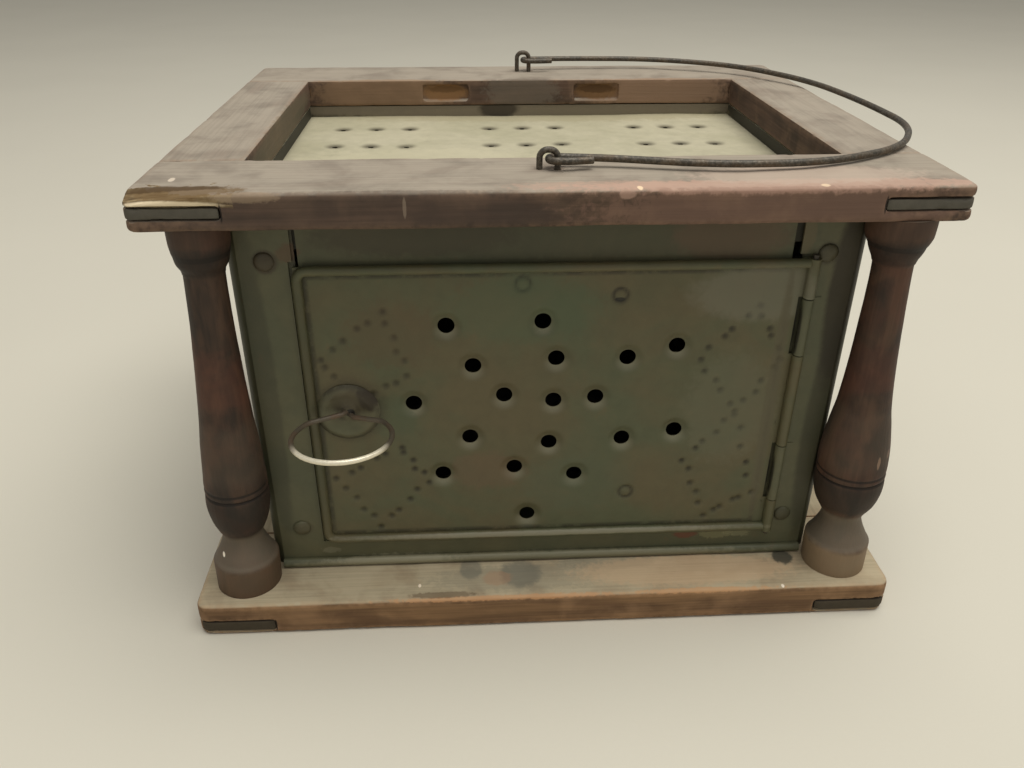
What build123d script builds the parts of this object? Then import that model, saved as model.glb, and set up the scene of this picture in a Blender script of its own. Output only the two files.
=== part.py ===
"""Antique foot warmer: a pierced tin ember box held between two wooden frames by four turned posts.

Frame: +Z up, +X to the right, front face towards -Y, origin at the middle of the resting plane.
All sizes are in millimetres.
"""

import os
from math import cos, radians, sin, tan

from build123d import *

os.makedirs("parts", exist_ok=True)

# ---------------------------------------------------------------- driving dimensions: wooden frames
top_overhang_x = 15.7  # from a post's axis at its head to the end of the top frame
top_overhang_y = 9.0
top_thickness = 10.4
top_side_rail_width = 25.3
top_end_rail_width = 34.5  # front and rear rails
top_tongue_thickness = 3.6  # bridle joint tongue, in the middle of the thickness
top_corner_radius = 3.0
top_edge_ease = 1.3  # worn edges

base_overhang_x = 15.6  # from a post's axis at its foot to the end of the base
base_overhang_y = 14.3
base_thickness = 12.3
base_side_rail_width = 25.6
base_end_rail_width = 38.0
base_tongue_thickness = 4.4
base_corner_radius = 4.5
base_edge_ease = 1.4

tongue_clearance = 0.05  # each side of a bridle tongue

chip_length = 27.0  # broken upper cheek at the front left corner, along the front
chip_run = 8.5  # the same, from front to back
chip_floor = 0.5  # wood left over the tongue at the corner

mortise_width = 19.0  # old shallow cuts in the rear rail's inner face
mortise_height = 6.4
mortise_depth = 1.6
mortise_centres = (-32.3, 31.8)

# ---------------------------------------------------------------- driving dimensions: turned posts
box_height = 125.6  # clear height between the two frames
foot_gap = 1.64  # between a post's foot and the box's corner
foot_direction = 38.3  # degrees from the box's side wall round to the post's foot
cap_gap = 0.61
cap_direction = 42.2
bulb_gap = 0.5
post_tenon_radius = 4.0
post_tenon_length = 6.6
post_tenon_clearance = 0.05

foot_radius = 10.6
foot_height = 11.4
foot_ease = 1.0  # worn upper edge of the foot
neck_radius = 7.6
neck_height = 20.6  # above the base
bulb_radius = 10.9
bulb_height = 40.5
ring_line_heights = (38.2, 40.2)
ring_line_depth = 0.35
shaft_mid_radius = 6.8
shaft_mid_height = 75.0
shaft_radius = 5.35
shaft_top_drop = 14.8  # below the top frame
collar_radius = 6.4
collar_height = 1.2
cap_radius = 9.0
cap_height = 7.6
cap_flare = 0.3  # the cap widens by this up to the frame
slim_post = "front_left"  # turned slimmer than the other three
slim_bulb_radius = 9.5
slim_shaft_mid_radius = 6.95
slim_cap_radius = 8.3

# ---------------------------------------------------------------- driving dimensions: tin box
sheet = 0.8
box_width = 184.7
box_depth = 165.4
corner_bend_radius = 2.6  # outer radius of the vertical corners
lap_edge_inset = 1.9  # front and back panels stop short of the corners
side_flange_reach = 18.1  # the side panels' front and back flanges
back_flange_reach = 12.0
top_panel_drop = 4.5  # tin top below the underside of the top frame
tray_flange = 6.0  # turned-down rim of the top and bottom panels
frame_gap = 0.15  # tin walls below the top frame

left_stile_width = 16.15  # front panel beside the door
right_stile_width = 12.65
left_header_stile_width = 17.35  # the same above the door
right_header_stile_width = 19.05
sill_height = 9.9
lintel_drop = 13.7  # the stiles' step, below the top frame
left_header_slot = 1.6  # between the header strip and the stiles
right_header_slot = 2.2
header_drop = 18.0  # header strip's lower edge, below the top frame
header_gap = 0.3  # header strip below the top frame
sill_bead_radius = 1.6

side_hole_count = 8  # air holes round the middle one in each side wall
side_ring_radius = 26.0
wall_rosette_rise = 63.7  # middle of the side and back holes, above the base
back_rings = ((16.0, 6), (32.0, 10))  # ring radius and hole count in the back wall
top_hole_groups = (-60.2, -1.3, 57.9)  # middles of the punched groups in the tin top
top_hole_pitch_x = 13.4
top_hole_pitch_y = 27.4
top_hole_shift = -1.5  # towards the front
strap_lap = 2.2  # the hinge straps' hold on the stile
tray_clearance = 0.05

rivet_radius = 2.9
rivet_clearance = 0.05
rivet_tail = 0.4
rivet_tail_radius = 2.1
rivet_shank_radius = 1.4
rivet_dome = 1.0
rivet_edge_distance = 9.45  # from the box's side wall
rivet_rise = 15.9  # lower rivets above the base
rivet_drop = 13.6  # upper rivets below the top frame
crowded_rivet_shift = 1.3  # the front upper right one was set this far in

# ---------------------------------------------------------------- driving dimensions: door and hinge
door_gap = 0.5  # beside the left stile
door_sill_gap = 0.2
door_lintel_gap = 1.0
door_offset = 0.35  # door face in front of the box face
edge_bead_radius = 1.5  # wired edges
door_corner_radius = 3.0
hinge_wire_radius = 0.9
hinge_clearance = 0.06
hinge_setback = 2.2  # hinge wire's axis to the right stile's edge
knuckle_gap = 0.35
lower_strap_rise = 13.8  # above the door's lower edge
lower_strap_length = 21.6
upper_strap_drop = 12.9  # below the door's upper edge
upper_strap_length = 18.7
bead_lap = 0.3  # the wired edges run this far into the rolled hinge edge
door_relief = 1.3  # between the door's notches and the straps
hinge_wire_overrun = 1.2

rosette_shift = (0.6, 3.2)  # middle of the pierced rosette, right of and above the door's middle
hole_radius = 2.4
rosette_holes = (  # distance and direction of each hole from the middle, struck by eye in three rings
    (0.0, 0),
    (13.4, 4),
    (15.0, 88),
    (15.8, 172),
    (15.8, 266),
    (27.2, 33),
    (27.9, 98),
    (28.4, 153),
    (29.7, 206),
    (28.1, 244),
    (29.6, 285),
    (27.2, 327),
    (42.3, 26),
    (42.7, 141),
    (44.2, 180),
    (44.9, 217),
    (45.5, 260),
    (41.7, 343),
)
rosette_dimples = ((40.9, 62), (41.7, 104), (44.2, 305))  # struck but never pierced
dimple_radius = 2.0
dimple_depth = 0.45

# ---------------------------------------------------------------- driving dimensions: latch
latch_edge_distance = 12.4  # from the door's free edge
latch_lift = 1.1  # above the door's middle
escutcheon_radius = 10.0
escutcheon_dish = 1.7
escutcheon_sheet = 0.5
latch_wire_radius = 0.85
latch_clearance = 0.08
latch_ring_radius = 14.9  # to the middle of the wire
latch_ring_lift = 4.0  # degrees that the ring rises away from the door
latch_ring_gap = 0.15  # between the ring and the escutcheon's middle
finger_length = 16.0
finger_width = 5.0
finger_thickness = 1.2
finger_gap = 0.4  # behind the left flange
finger_fit = 0.02  # peened on the latch wire

# ---------------------------------------------------------------- driving dimensions: ember pan
pan_width = 128.0
pan_depth = 112.0
pan_height = 34.0
pan_corner_radius = 12.0
pan_lip = 2.4
pan_x = 0.0
pan_lift = 0.3  # running gap under the pan
pan_back_gap = 1.0

# ---------------------------------------------------------------- driving dimensions: bail and staples
bail_wire_radius = 1.05
staple_wire_radius = 0.9
staple_clearance = 0.05
staple_leg_spread = 5.2
staple_leg_depth = 6.0
staple_bend = 2.3
front_staple_inset = 21.3  # from the top frame's front edge
front_staple_shift = -1.2  # to the right of the middle
rear_staple_inset = 14.1
rear_staple_shift = 1.6
front_pivot_rise = 2.7  # above the top frame
rear_pivot_rise = 4.6
front_staple_rise = 6.2
rear_staple_rise = 8.6
bail_eye_half_width = 2.4
bail_eye_bend = 2.1
bail_tail_offset = 1.0  # the cut end tucks in beside the handle's wire
bail_eye_length = 12.5
bail_tail_bend = 8.0
bail_rest_tilt = -0.75  # degrees, down towards the right rail
bail_front_bow = (  # reach from the pivots, and place behind the front eye
    (17.0, 1.2),
    (48.0, -4.6),
    (80.0, -1.4),
    (109.0, 15.5),
    (123.5, 43.0),
)
bail_rear_bow = (  # the same, and place in front of the rear eye
    (121.5, 77.7),
    (114.5, 39.7),
    (93.0, 7.2),
    (58.0, -6.8),
    (22.0, -5.3),
)

# ---------------------------------------------------------------- derived levels
top_underside = base_thickness + box_height
top_face = top_underside + top_thickness
wall_rosette_height = base_thickness + wall_rosette_rise
box_front = -box_depth / 2
box_back = box_depth / 2
box_side = box_width / 2
tin_top = top_underside - top_panel_drop
wall_top = top_underside - frame_gap
inner_front = box_front + 2 * sheet  # behind the side panels' front flanges
inner_back = box_back - 2 * sheet
inner_side = box_side - sheet
stile_edge_left = left_stile_width - box_side
stile_edge_right = box_side - right_stile_width
header_edge_left = left_header_stile_width - box_side
header_edge_right = box_side - right_header_stile_width
header_left = header_edge_left + left_header_slot
header_right = header_edge_right - right_header_slot
sill_top = base_thickness + sill_height
lintel = top_underside - lintel_drop
rivet_x = box_side - rivet_edge_distance
low_rivet = base_thickness + rivet_rise
high_rivet = top_underside - rivet_drop
back_rivet_places = ((-rivet_x, low_rivet), (rivet_x, low_rivet), (-rivet_x, high_rivet), (rivet_x, high_rivet))
front_rivet_places = (*back_rivet_places[:3], (rivet_x - crowded_rivet_shift, high_rivet))
door_left = stile_edge_left + door_gap
door_bottom = sill_top + door_sill_gap
door_top = lintel - door_lintel_gap
hinge_x = stile_edge_right - hinge_setback
strap_spans = (
    (door_bottom + lower_strap_rise, door_bottom + lower_strap_rise + lower_strap_length),
    (door_top - upper_strap_drop - upper_strap_length, door_top - upper_strap_drop),
)
door_middle_x = (door_left + hinge_x) / 2
door_middle_z = (door_bottom + door_top) / 2
rosette_x = door_middle_x + rosette_shift[0]
rosette_z = door_middle_z + rosette_shift[1]
latch_x = door_left + latch_edge_distance
latch_z = door_middle_z + latch_lift
door_face = box_front - door_offset
door_back = door_face + sheet
knuckle_radius = hinge_wire_radius + hinge_clearance + sheet
hinge_y = door_back - knuckle_radius
hinge_bore = hinge_wire_radius + hinge_clearance


def fill_block(x_from, x_to, y_from, y_to, z_from, z_to, mode=Mode.ADD):
    """Straight block between two corners, for use inside a part."""
    with Locations(((x_from + x_to) / 2, (y_from + y_to) / 2, (z_from + z_to) / 2)):
        Box(x_to - x_from, y_to - y_from, z_to - z_from, mode=mode)


def fill_pane(x_from, x_to, y_from, y_to, mode=Mode.ADD):
    """Rectangle between two corners, for use inside a sketch."""
    with Locations(((x_from + x_to) / 2, (y_from + y_to) / 2)):
        Rectangle(x_to - x_from, y_to - y_from, mode=mode)


def finish(part, name):
    """Label a finished piece and write it."""
    part.label = name
    export_step(part, f"parts/{name}.step")


# ---------------------------------------------------------------- post axes and frame sizes
cap_stand = cap_radius + corner_bend_radius + cap_gap  # post axes from the middle of the corner's bend
bulb_stand = bulb_radius + corner_bend_radius + bulb_gap
bulb_share = bulb_height / box_height
foot_stand = max(
    foot_radius + corner_bend_radius + foot_gap,
    (bulb_stand - bulb_share * cap_stand) / (1 - bulb_share),
)
bend_x = box_side - corner_bend_radius
bend_y = box_back - sheet - corner_bend_radius
post_foot_x = bend_x + foot_stand * cos(radians(foot_direction))
post_foot_y = bend_y + foot_stand * sin(radians(foot_direction))
slim_stand = slim_cap_radius + corner_bend_radius + cap_gap
post_head_x = bend_x + cap_stand * cos(radians(cap_direction))
post_head_y = bend_y + cap_stand * sin(radians(cap_direction))
base_width = 2 * (post_foot_x + base_overhang_x)
base_depth = 2 * (post_foot_y + base_overhang_y)
top_width = 2 * (post_head_x + top_overhang_x)
top_depth = 2 * (post_head_y + top_overhang_y)
front_pivot = (front_staple_shift, front_staple_inset - top_depth / 2)
rear_pivot = (rear_staple_shift, top_depth / 2 - rear_staple_inset)
posts = {}
for row, y_sign in (("front", -1), ("rear", 1)):
    for side, x_sign in (("left", -1), ("right", 1)):
        name = f"{row}_{side}"
        stand = slim_stand if name == slim_post else cap_stand
        head_x = bend_x + stand * cos(radians(cap_direction))
        head_y = bend_y + stand * sin(radians(cap_direction))
        foot = Vector(x_sign * post_foot_x, y_sign * post_foot_y, base_thickness)
        head = Vector(x_sign * head_x, y_sign * head_y, top_underside)
        posts[name] = (foot, head)


def upright_plane(foot, head):
    """Plane at the foot of a post with its local Z along the post's axis."""
    return Plane(origin=foot, x_dir=(1, 0, 0), z_dir=head - foot)


def cut_post_sockets(level):
    """Cut the four round sockets that the posts' tenons enter, at their foot or their head."""
    for foot, head in posts.values():
        along = (head - foot).normalized()
        if level == "foot":
            inward = -along
            mouth = foot
        else:
            inward = along
            mouth = head
        lead = 1.0  # starts this far outside the wood, so that the leaning mouth opens fully
        socket = Plane(origin=mouth - inward * lead, x_dir=(1, 0, 0), z_dir=inward)
        with Locations(socket):
            Cylinder(
                post_tenon_radius + post_tenon_clearance,
                lead + post_tenon_length + post_tenon_clearance,
                align=(Align.CENTER, Align.CENTER, Align.MIN),
                mode=Mode.SUBTRACT,
            )


def frame_blank(width, depth, thickness, side_rail, end_rail, corner_radius, ease, bottom):
    """Whole picture-frame blank with worn edges, from which the four rails are divided."""
    with BuildPart() as blank:
        with BuildSketch(Plane.XY.offset(bottom)):
            RectangleRounded(width, depth, corner_radius)
        extrude(amount=thickness)
        rims = blank.edges().filter_by(Plane.XY)
        fillet(rims, ease)
        fill_block(
            side_rail - width / 2,
            width / 2 - side_rail,
            end_rail - depth / 2,
            depth / 2 - end_rail,
            bottom,
            bottom + thickness,
            mode=Mode.SUBTRACT,
        )
    return blank.part


def cut_rail(blank, width, depth, side_rail, end_rail, tongue, bottom, thickness, place):
    """Divide one rail from the blank: end rails get open slots, side rails get the tongues."""
    x_inner = width / 2 - side_rail
    y_inner = depth / 2 - end_rail
    tongue_bottom = bottom + (thickness - tongue) / 2
    tongue_top = tongue_bottom + tongue
    top = bottom + thickness
    x_sign = -1 if place == "left" else 1
    y_sign = -1 if place == "front" else 1
    with BuildPart() as rail:
        add(blank)
        if place in ("front", "rear"):
            y_span = sorted((y_sign * y_inner, y_sign * depth / 2))
            fill_block(-width / 2, width / 2, *y_span, bottom, top, mode=Mode.INTERSECT)
            for end in (-1, 1):
                x_span = sorted((end * x_inner, end * width / 2))
                fill_block(*x_span, *y_span, tongue_bottom, tongue_top, mode=Mode.SUBTRACT)
        else:
            x_span = sorted((x_sign * x_inner, x_sign * width / 2))
            fill_block(*x_span, -depth / 2, depth / 2, bottom, top, mode=Mode.INTERSECT)
            lower = tongue_bottom + tongue_clearance
            upper = tongue_top - tongue_clearance
            for end in (-1, 1):
                y_span = sorted((end * y_inner, end * depth / 2))
                fill_block(*x_span, *y_span, bottom, lower, mode=Mode.SUBTRACT)
                fill_block(*x_span, *y_span, upper, top, mode=Mode.SUBTRACT)
    return rail.part


# ---------------------------------------------------------------- bail axis and staple places
front_eye = Vector(front_pivot[0], front_pivot[1], top_face + front_pivot_rise)
rear_eye = Vector(rear_pivot[0], rear_pivot[1], top_face + rear_pivot_rise)
bail_axis = (rear_eye - front_eye).normalized()
bail_span = (rear_eye - front_eye).length
level_reach = bail_axis.cross(Vector(0, 0, 1)).normalized()
level_normal = level_reach.cross(bail_axis)
bail_reach = level_reach * cos(radians(bail_rest_tilt)) + level_normal * sin(radians(bail_rest_tilt))
bail_plane = Plane(origin=front_eye, x_dir=bail_reach, z_dir=bail_reach.cross(bail_axis))


def cut_staple_holes(pivot):
    """Cut the two holes that one staple's legs are driven into."""
    for leg in (-staple_leg_spread / 2, staple_leg_spread / 2):
        with Locations((pivot[0] + leg, pivot[1], top_face)):
            Cylinder(
                staple_wire_radius + staple_clearance,
                2 * (staple_leg_depth + staple_clearance),
                mode=Mode.SUBTRACT,
            )


# ================================================================ base frame
base_blank = frame_blank(
    base_width,
    base_depth,
    base_thickness,
    base_side_rail_width,
    base_end_rail_width,
    base_corner_radius,
    base_edge_ease,
    0.0,
)
for place in ("front", "rear", "left", "right"):
    with BuildPart() as base_rail:
        add(
            cut_rail(
                base_blank,
                base_width,
                base_depth,
                base_side_rail_width,
                base_end_rail_width,
                base_tongue_thickness,
                0.0,
                base_thickness,
                place,
            )
        )
        cut_post_sockets("foot")
    finish(base_rail.part, f"base_{place}_rail")

# ================================================================ top frame
top_blank = frame_blank(
    top_width,
    top_depth,
    top_thickness,
    top_side_rail_width,
    top_end_rail_width,
    top_corner_radius,
    top_edge_ease,
    top_underside,
)
for place in ("front", "rear", "left", "right"):
    with BuildPart() as top_rail:
        add(
            cut_rail(
                top_blank,
                top_width,
                top_depth,
                top_side_rail_width,
                top_end_rail_width,
                top_tongue_thickness,
                top_underside,
                top_thickness,
                place,
            )
        )
        cut_post_sockets("head")
        if place == "front":
            cut_staple_holes(front_pivot)
            # the upper cheek of the left bridle joint has split away at its outer corner
            tongue_top = top_underside + (top_thickness + top_tongue_thickness) / 2
            cheek = top_face - tongue_top - chip_floor
            chip_corner = Vector(-top_width / 2, -top_depth / 2, tongue_top + chip_floor)
            chip_normal = Vector(-cheek / chip_length, -cheek / chip_run, 1)
            chip_plane = Plane(origin=chip_corner, x_dir=(chip_length, 0, cheek), z_dir=chip_normal)
            with BuildSketch(chip_plane):
                fill_pane(-chip_run, 1.3 * chip_length, -chip_run, 3 * chip_run)
            extrude(amount=2 * cheek, mode=Mode.SUBTRACT)
        if place == "rear":
            cut_staple_holes(rear_pivot)
            inner_face = top_depth / 2 - top_end_rail_width
            middle = top_underside + top_thickness / 2
            for centre in mortise_centres:
                fill_block(
                    centre - mortise_width / 2,
                    centre + mortise_width / 2,
                    inner_face,
                    inner_face + mortise_depth,
                    middle - mortise_height / 2,
                    middle + mortise_height / 2,
                    mode=Mode.SUBTRACT,
                )
    finish(top_rail.part, f"top_{place}_rail")

# ================================================================ turned posts
for name, (foot, head) in posts.items():
    axis_plane = upright_plane(foot, head)
    length = (head - foot).length
    spare = 1.0  # trimmed off both ends along the frames' faces
    profile_plane = Plane(origin=foot, x_dir=axis_plane.x_dir, z_dir=axis_plane.y_dir * -1)
    shaft_top = length - shaft_top_drop
    cove_bottom = shaft_top + collar_height
    cap_bottom = length - cap_height
    if name == slim_post:
        bulb, shaft_mid, cap = slim_bulb_radius, slim_shaft_mid_radius, slim_cap_radius
    else:
        bulb, shaft_mid, cap = bulb_radius, shaft_mid_radius, cap_radius
    with BuildPart() as post:
        with BuildSketch(profile_plane):
            with BuildLine():
                Polyline((0, -spare), (foot_radius, -spare), (foot_radius, foot_height - foot_ease))
                ThreePointArc(
                    (foot_radius, foot_height - foot_ease),
                    (foot_radius - 0.3 * foot_ease, foot_height - 0.2 * foot_ease),
                    (foot_radius - foot_ease, foot_height + 0.4 * foot_ease),
                )
                Spline(
                    (foot_radius - foot_ease, foot_height + 0.4 * foot_ease),
                    (neck_radius, neck_height),
                    tangents=((-1, 0.55), (0.05, 1)),
                )
                Spline(
                    (neck_radius, neck_height),
                    (bulb, bulb_height),
                    tangents=((1, 0.9), (0, 1)),
                )
                Spline(
                    (bulb, bulb_height),
                    (shaft_mid, shaft_mid_height),
                    (shaft_radius, shaft_top),
                    tangents=((0, 1), (-0.1, 1), (-0.02, 1)),
                )
                Polyline(
                    (shaft_radius, shaft_top),
                    (collar_radius, shaft_top + collar_height / 2),
                    (collar_radius, cove_bottom),
                )
                Spline(
                    (collar_radius, cove_bottom),
                    (cap - cap_flare, cap_bottom),
                    tangents=((0.15, 1), (1, 0.7)),
                )
                Polyline(
                    (cap - cap_flare, cap_bottom),
                    (cap, length + spare),
                    (0, length + spare),
                    (0, -spare),
                )
            make_face()
        revolve(axis=Axis(foot, head - foot))
        with BuildSketch(profile_plane):
            for ring_height in ring_line_heights:
                with Locations((bulb, ring_height)):
                    Polygon(
                        (-ring_line_depth, 0),
                        (ring_line_depth, -ring_line_depth),
                        (ring_line_depth, ring_line_depth),
                        align=None,
                    )
        revolve(axis=Axis(foot, head - foot), mode=Mode.SUBTRACT)
        fill_block(
            -base_width / 2,
            base_width / 2,
            -base_depth / 2,
            base_depth / 2,
            base_thickness,
            top_underside,
            mode=Mode.INTERSECT,
        )
        with Locations(axis_plane.offset(-post_tenon_length)):
            Cylinder(
                post_tenon_radius,
                length + 2 * post_tenon_length,
                align=(Align.CENTER, Align.CENTER, Align.MIN),
            )
    finish(post.part, f"{name}_post")

# ================================================================ tin box: walls


def cut_rivet_holes(places, depth_from, depth_to):
    """Cut the rivet holes of the front or the back seams."""
    for x_place, height in places:
        middle = (x_place, (depth_from + depth_to) / 2, height)
        with Locations(Location(middle, (90, 0, 0))):
            Cylinder(
                rivet_shank_radius + rivet_clearance,
                depth_to - depth_from + sheet,
                mode=Mode.SUBTRACT,
            )


def punch_side_rosette(x_sign):
    """Punch a ring of air holes round a middle hole through one side wall."""
    places = [(0.0, 0.0)]
    for index in range(side_hole_count):
        turn = radians(360 / side_hole_count * index)
        places.append((side_ring_radius * cos(turn), side_ring_radius * sin(turn)))
    for along, up in places:
        with Locations(Location((x_sign * box_side, along, wall_rosette_height + up), (0, 90, 0))):
            Cylinder(hole_radius, 4 * sheet, mode=Mode.SUBTRACT)


for side, x_sign in (("left", -1), ("right", 1)):
    with BuildPart() as side_panel:
        with BuildSketch(Plane.XY.offset(base_thickness)):
            RectangleRounded(box_width, box_depth - 2 * sheet, corner_bend_radius)
            RectangleRounded(
                inner_side * 2,
                box_depth - 4 * sheet,
                corner_bend_radius - sheet,
                mode=Mode.SUBTRACT,
            )
            front_edge = box_side - side_flange_reach
            back_edge = box_side - back_flange_reach
            if side == "left":
                fill_pane(-front_edge, box_side, -box_depth, 0, mode=Mode.SUBTRACT)
                fill_pane(-back_edge, box_side, 0, box_depth, mode=Mode.SUBTRACT)
            else:
                fill_pane(-box_side, front_edge, -box_depth, 0, mode=Mode.SUBTRACT)
                fill_pane(-box_side, back_edge, 0, box_depth, mode=Mode.SUBTRACT)
        extrude(amount=wall_top - base_thickness)
        cut_rivet_holes(front_rivet_places, box_front + sheet, inner_front)
        cut_rivet_holes(back_rivet_places, inner_back, box_back - sheet)
        punch_side_rosette(x_sign)
    finish(side_panel.part, f"{side}_panel")

panel_edge = box_side - lap_edge_inset
front_plane = Plane.XZ.offset(-box_front)
with BuildPart() as front_panel:
    with BuildSketch(front_plane):
        fill_pane(-panel_edge, panel_edge, base_thickness, wall_top)
        fill_pane(stile_edge_left, stile_edge_right, sill_top, lintel, mode=Mode.SUBTRACT)
        fill_pane(header_edge_left, header_edge_right, sill_top, top_underside, mode=Mode.SUBTRACT)
    extrude(amount=-sheet)
    # rolled bottom edge
    roll_y = box_front + sheet - sill_bead_radius
    with Locations(Location((0, roll_y, base_thickness + sill_bead_radius), (0, 90, 0))):
        Cylinder(sill_bead_radius, 2 * panel_edge)
    # hinge straps wrapped round the wire
    for strap_bottom, strap_top in strap_spans:
        with BuildSketch(Plane.XY.offset(strap_bottom)):
            with Locations((hinge_x, hinge_y)):
                Circle(knuckle_radius)
            fill_pane(hinge_x, stile_edge_right + strap_lap, door_face, door_back)
            with Locations((hinge_x, hinge_y)):
                Circle(hinge_bore, mode=Mode.SUBTRACT)
        extrude(amount=strap_top - strap_bottom)
    cut_rivet_holes(front_rivet_places, box_front, box_front + sheet)
finish(front_panel.part, "front_panel")

back_plane = Plane.XZ.offset(-box_back)
with BuildPart() as back_panel:
    with BuildSketch(back_plane):
        fill_pane(-panel_edge, panel_edge, base_thickness, wall_top)
        with Locations((0, wall_rosette_height)):
            Circle(hole_radius, mode=Mode.SUBTRACT)
            for ring_radius, ring_count in back_rings:
                with PolarLocations(ring_radius, ring_count):
                    Circle(hole_radius, mode=Mode.SUBTRACT)
    extrude(amount=sheet)
    cut_rivet_holes(back_rivet_places, box_back - sheet, box_back)
finish(back_panel.part, "back_panel")

with BuildPart() as header_strip:
    with BuildSketch(front_plane):
        fill_pane(
            header_left,
            header_right,
            top_underside - header_drop,
            top_underside - header_gap,
        )
    extrude(amount=-2 * sheet)
    fill_block(
        header_left,
        header_right,
        box_front,
        box_front + sheet,
        base_thickness,
        top_face,
        mode=Mode.SUBTRACT,
    )
finish(header_strip.part, "header_strip")


# ================================================================ tin box: top and bottom trays
tray_half_x = inner_side - tray_clearance
tray_front = inner_front + tray_clearance
tray_back = inner_back - tray_clearance
for name, face_level, rim_sign in (("top", tin_top, -1), ("bottom", base_thickness, 1)):
    with BuildPart() as tray:
        with BuildSketch(Plane.XY.offset(face_level)):
            RectangleRounded(2 * tray_half_x, tray_back - tray_front, corner_bend_radius)
        extrude(amount=rim_sign * tray_flange)
        with BuildSketch(Plane.XY.offset(face_level + rim_sign * sheet)):
            RectangleRounded(
                2 * (tray_half_x - sheet),
                tray_back - tray_front - 2 * sheet,
                corner_bend_radius - sheet,
            )
        extrude(amount=rim_sign * tray_flange, mode=Mode.SUBTRACT)
        if name == "top":
            for group_x in top_hole_groups:
                with BuildSketch(Plane.XY.offset(face_level)):
                    with Locations((group_x, top_hole_shift)):
                        with GridLocations(top_hole_pitch_x, top_hole_pitch_y, 3, 4):
                            Circle(hole_radius)
                extrude(amount=-2 * sheet, mode=Mode.SUBTRACT)
    finish(tray.part, f"{name}_panel")

# ================================================================ seam rivets
for name, outer_face, places, out_sign in (
    ("front", box_front, front_rivet_places, -1),
    ("back", box_back, back_rivet_places, 1),
):
    with BuildPart() as rivets:
        for x_place, height in places:
            centre = Vector(x_place, outer_face, height)
            profile_plane = Plane(origin=centre, x_dir=(1, 0, 0), z_dir=(0, 0, out_sign))
            grip = 2 * sheet
            with BuildSketch(profile_plane):
                with BuildLine():
                    Line((0, -grip - rivet_tail), (0, rivet_dome))
                    ThreePointArc(
                        (0, rivet_dome),
                        (0.72 * rivet_radius, 0.52 * rivet_dome),
                        (rivet_radius, 0),
                    )
                    Polyline(
                        (rivet_radius, 0),
                        (rivet_shank_radius, 0),
                        (rivet_shank_radius, -grip),
                        (rivet_tail_radius, -grip),
                        (rivet_shank_radius, -grip - rivet_tail),
                        (0, -grip - rivet_tail),
                    )
                make_face()
            revolve(axis=Axis(centre, (0, 1, 0)))
    finish(rivets.part, f"{name}_rivets")

# ================================================================ door and its hinge wire
door_plane = Plane.XZ.offset(-door_face)
bead_line = door_back - edge_bead_radius
bead_end = hinge_x - knuckle_radius + bead_lap
with BuildPart() as door:
    with BuildSketch(door_plane):
        fill_pane(door_left, hinge_x, door_bottom, door_top)
    extrude(amount=-sheet)
    left_edges = door.edges().filter_by(Axis.Y).group_by(Axis.X)[0]
    fillet(left_edges, door_corner_radius)
    # wire rolled into the three free edges
    with BuildLine(Plane.XZ.offset(-bead_line)):
        FilletPolyline(
            (bead_end, door_top - edge_bead_radius),
            (door_left + edge_bead_radius, door_top - edge_bead_radius),
            (door_left + edge_bead_radius, door_bottom + edge_bead_radius),
            (bead_end, door_bottom + edge_bead_radius),
            radius=door_corner_radius,
        )
    with BuildSketch(Plane(origin=(bead_end, bead_line, door_top - edge_bead_radius), z_dir=(-1, 0, 0))):
        Circle(edge_bead_radius)
    sweep()
    # edge rolled round the hinge wire
    with BuildSketch(Plane.XY.offset(door_bottom)):
        with Locations((hinge_x, hinge_y)):
            Circle(knuckle_radius)
    extrude(amount=door_top - door_bottom)
    with BuildSketch(Plane.XY.offset(door_bottom)):
        with Locations((hinge_x, hinge_y)):
            Circle(hinge_bore)
    extrude(amount=door_top - door_bottom, mode=Mode.SUBTRACT)
    for strap_bottom, strap_top in strap_spans:
        fill_block(
            hinge_x - knuckle_radius - door_relief,
            hinge_x + 2 * knuckle_radius,
            hinge_y - 2 * knuckle_radius,
            door_back + sheet,
            strap_bottom - knuckle_gap,
            strap_top + knuckle_gap,
            mode=Mode.SUBTRACT,
        )
    # pierced rosette, with three places that were struck but not pierced
    with BuildSketch(door_plane):
        for distance, direction in rosette_holes:
            turn = radians(direction)
            place = (rosette_x + distance * cos(turn), rosette_z + distance * sin(turn))
            with Locations(place):
                Circle(hole_radius)
        with Locations((latch_x, latch_z)):
            Circle(latch_wire_radius + latch_clearance)
    extrude(amount=-sheet, mode=Mode.SUBTRACT)
    dimple_ball = (dimple_radius**2 + dimple_depth**2) / (2 * dimple_depth)
    for distance, direction in rosette_dimples:
        turn = radians(direction)
        across = rosette_x + distance * cos(turn)
        up = rosette_z + distance * sin(turn)
        with Locations((across, door_face - dimple_ball + dimple_depth, up)):
            Sphere(dimple_ball, mode=Mode.SUBTRACT)
finish(door.part, "door")

with BuildPart() as hinge_wire:
    with BuildSketch(Plane.XY.offset(door_bottom - hinge_wire_overrun)):
        with Locations((hinge_x, hinge_y)):
            Circle(hinge_wire_radius)
    extrude(amount=door_top - door_bottom + 2 * hinge_wire_overrun)
finish(hinge_wire.part, "hinge_wire")

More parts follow.
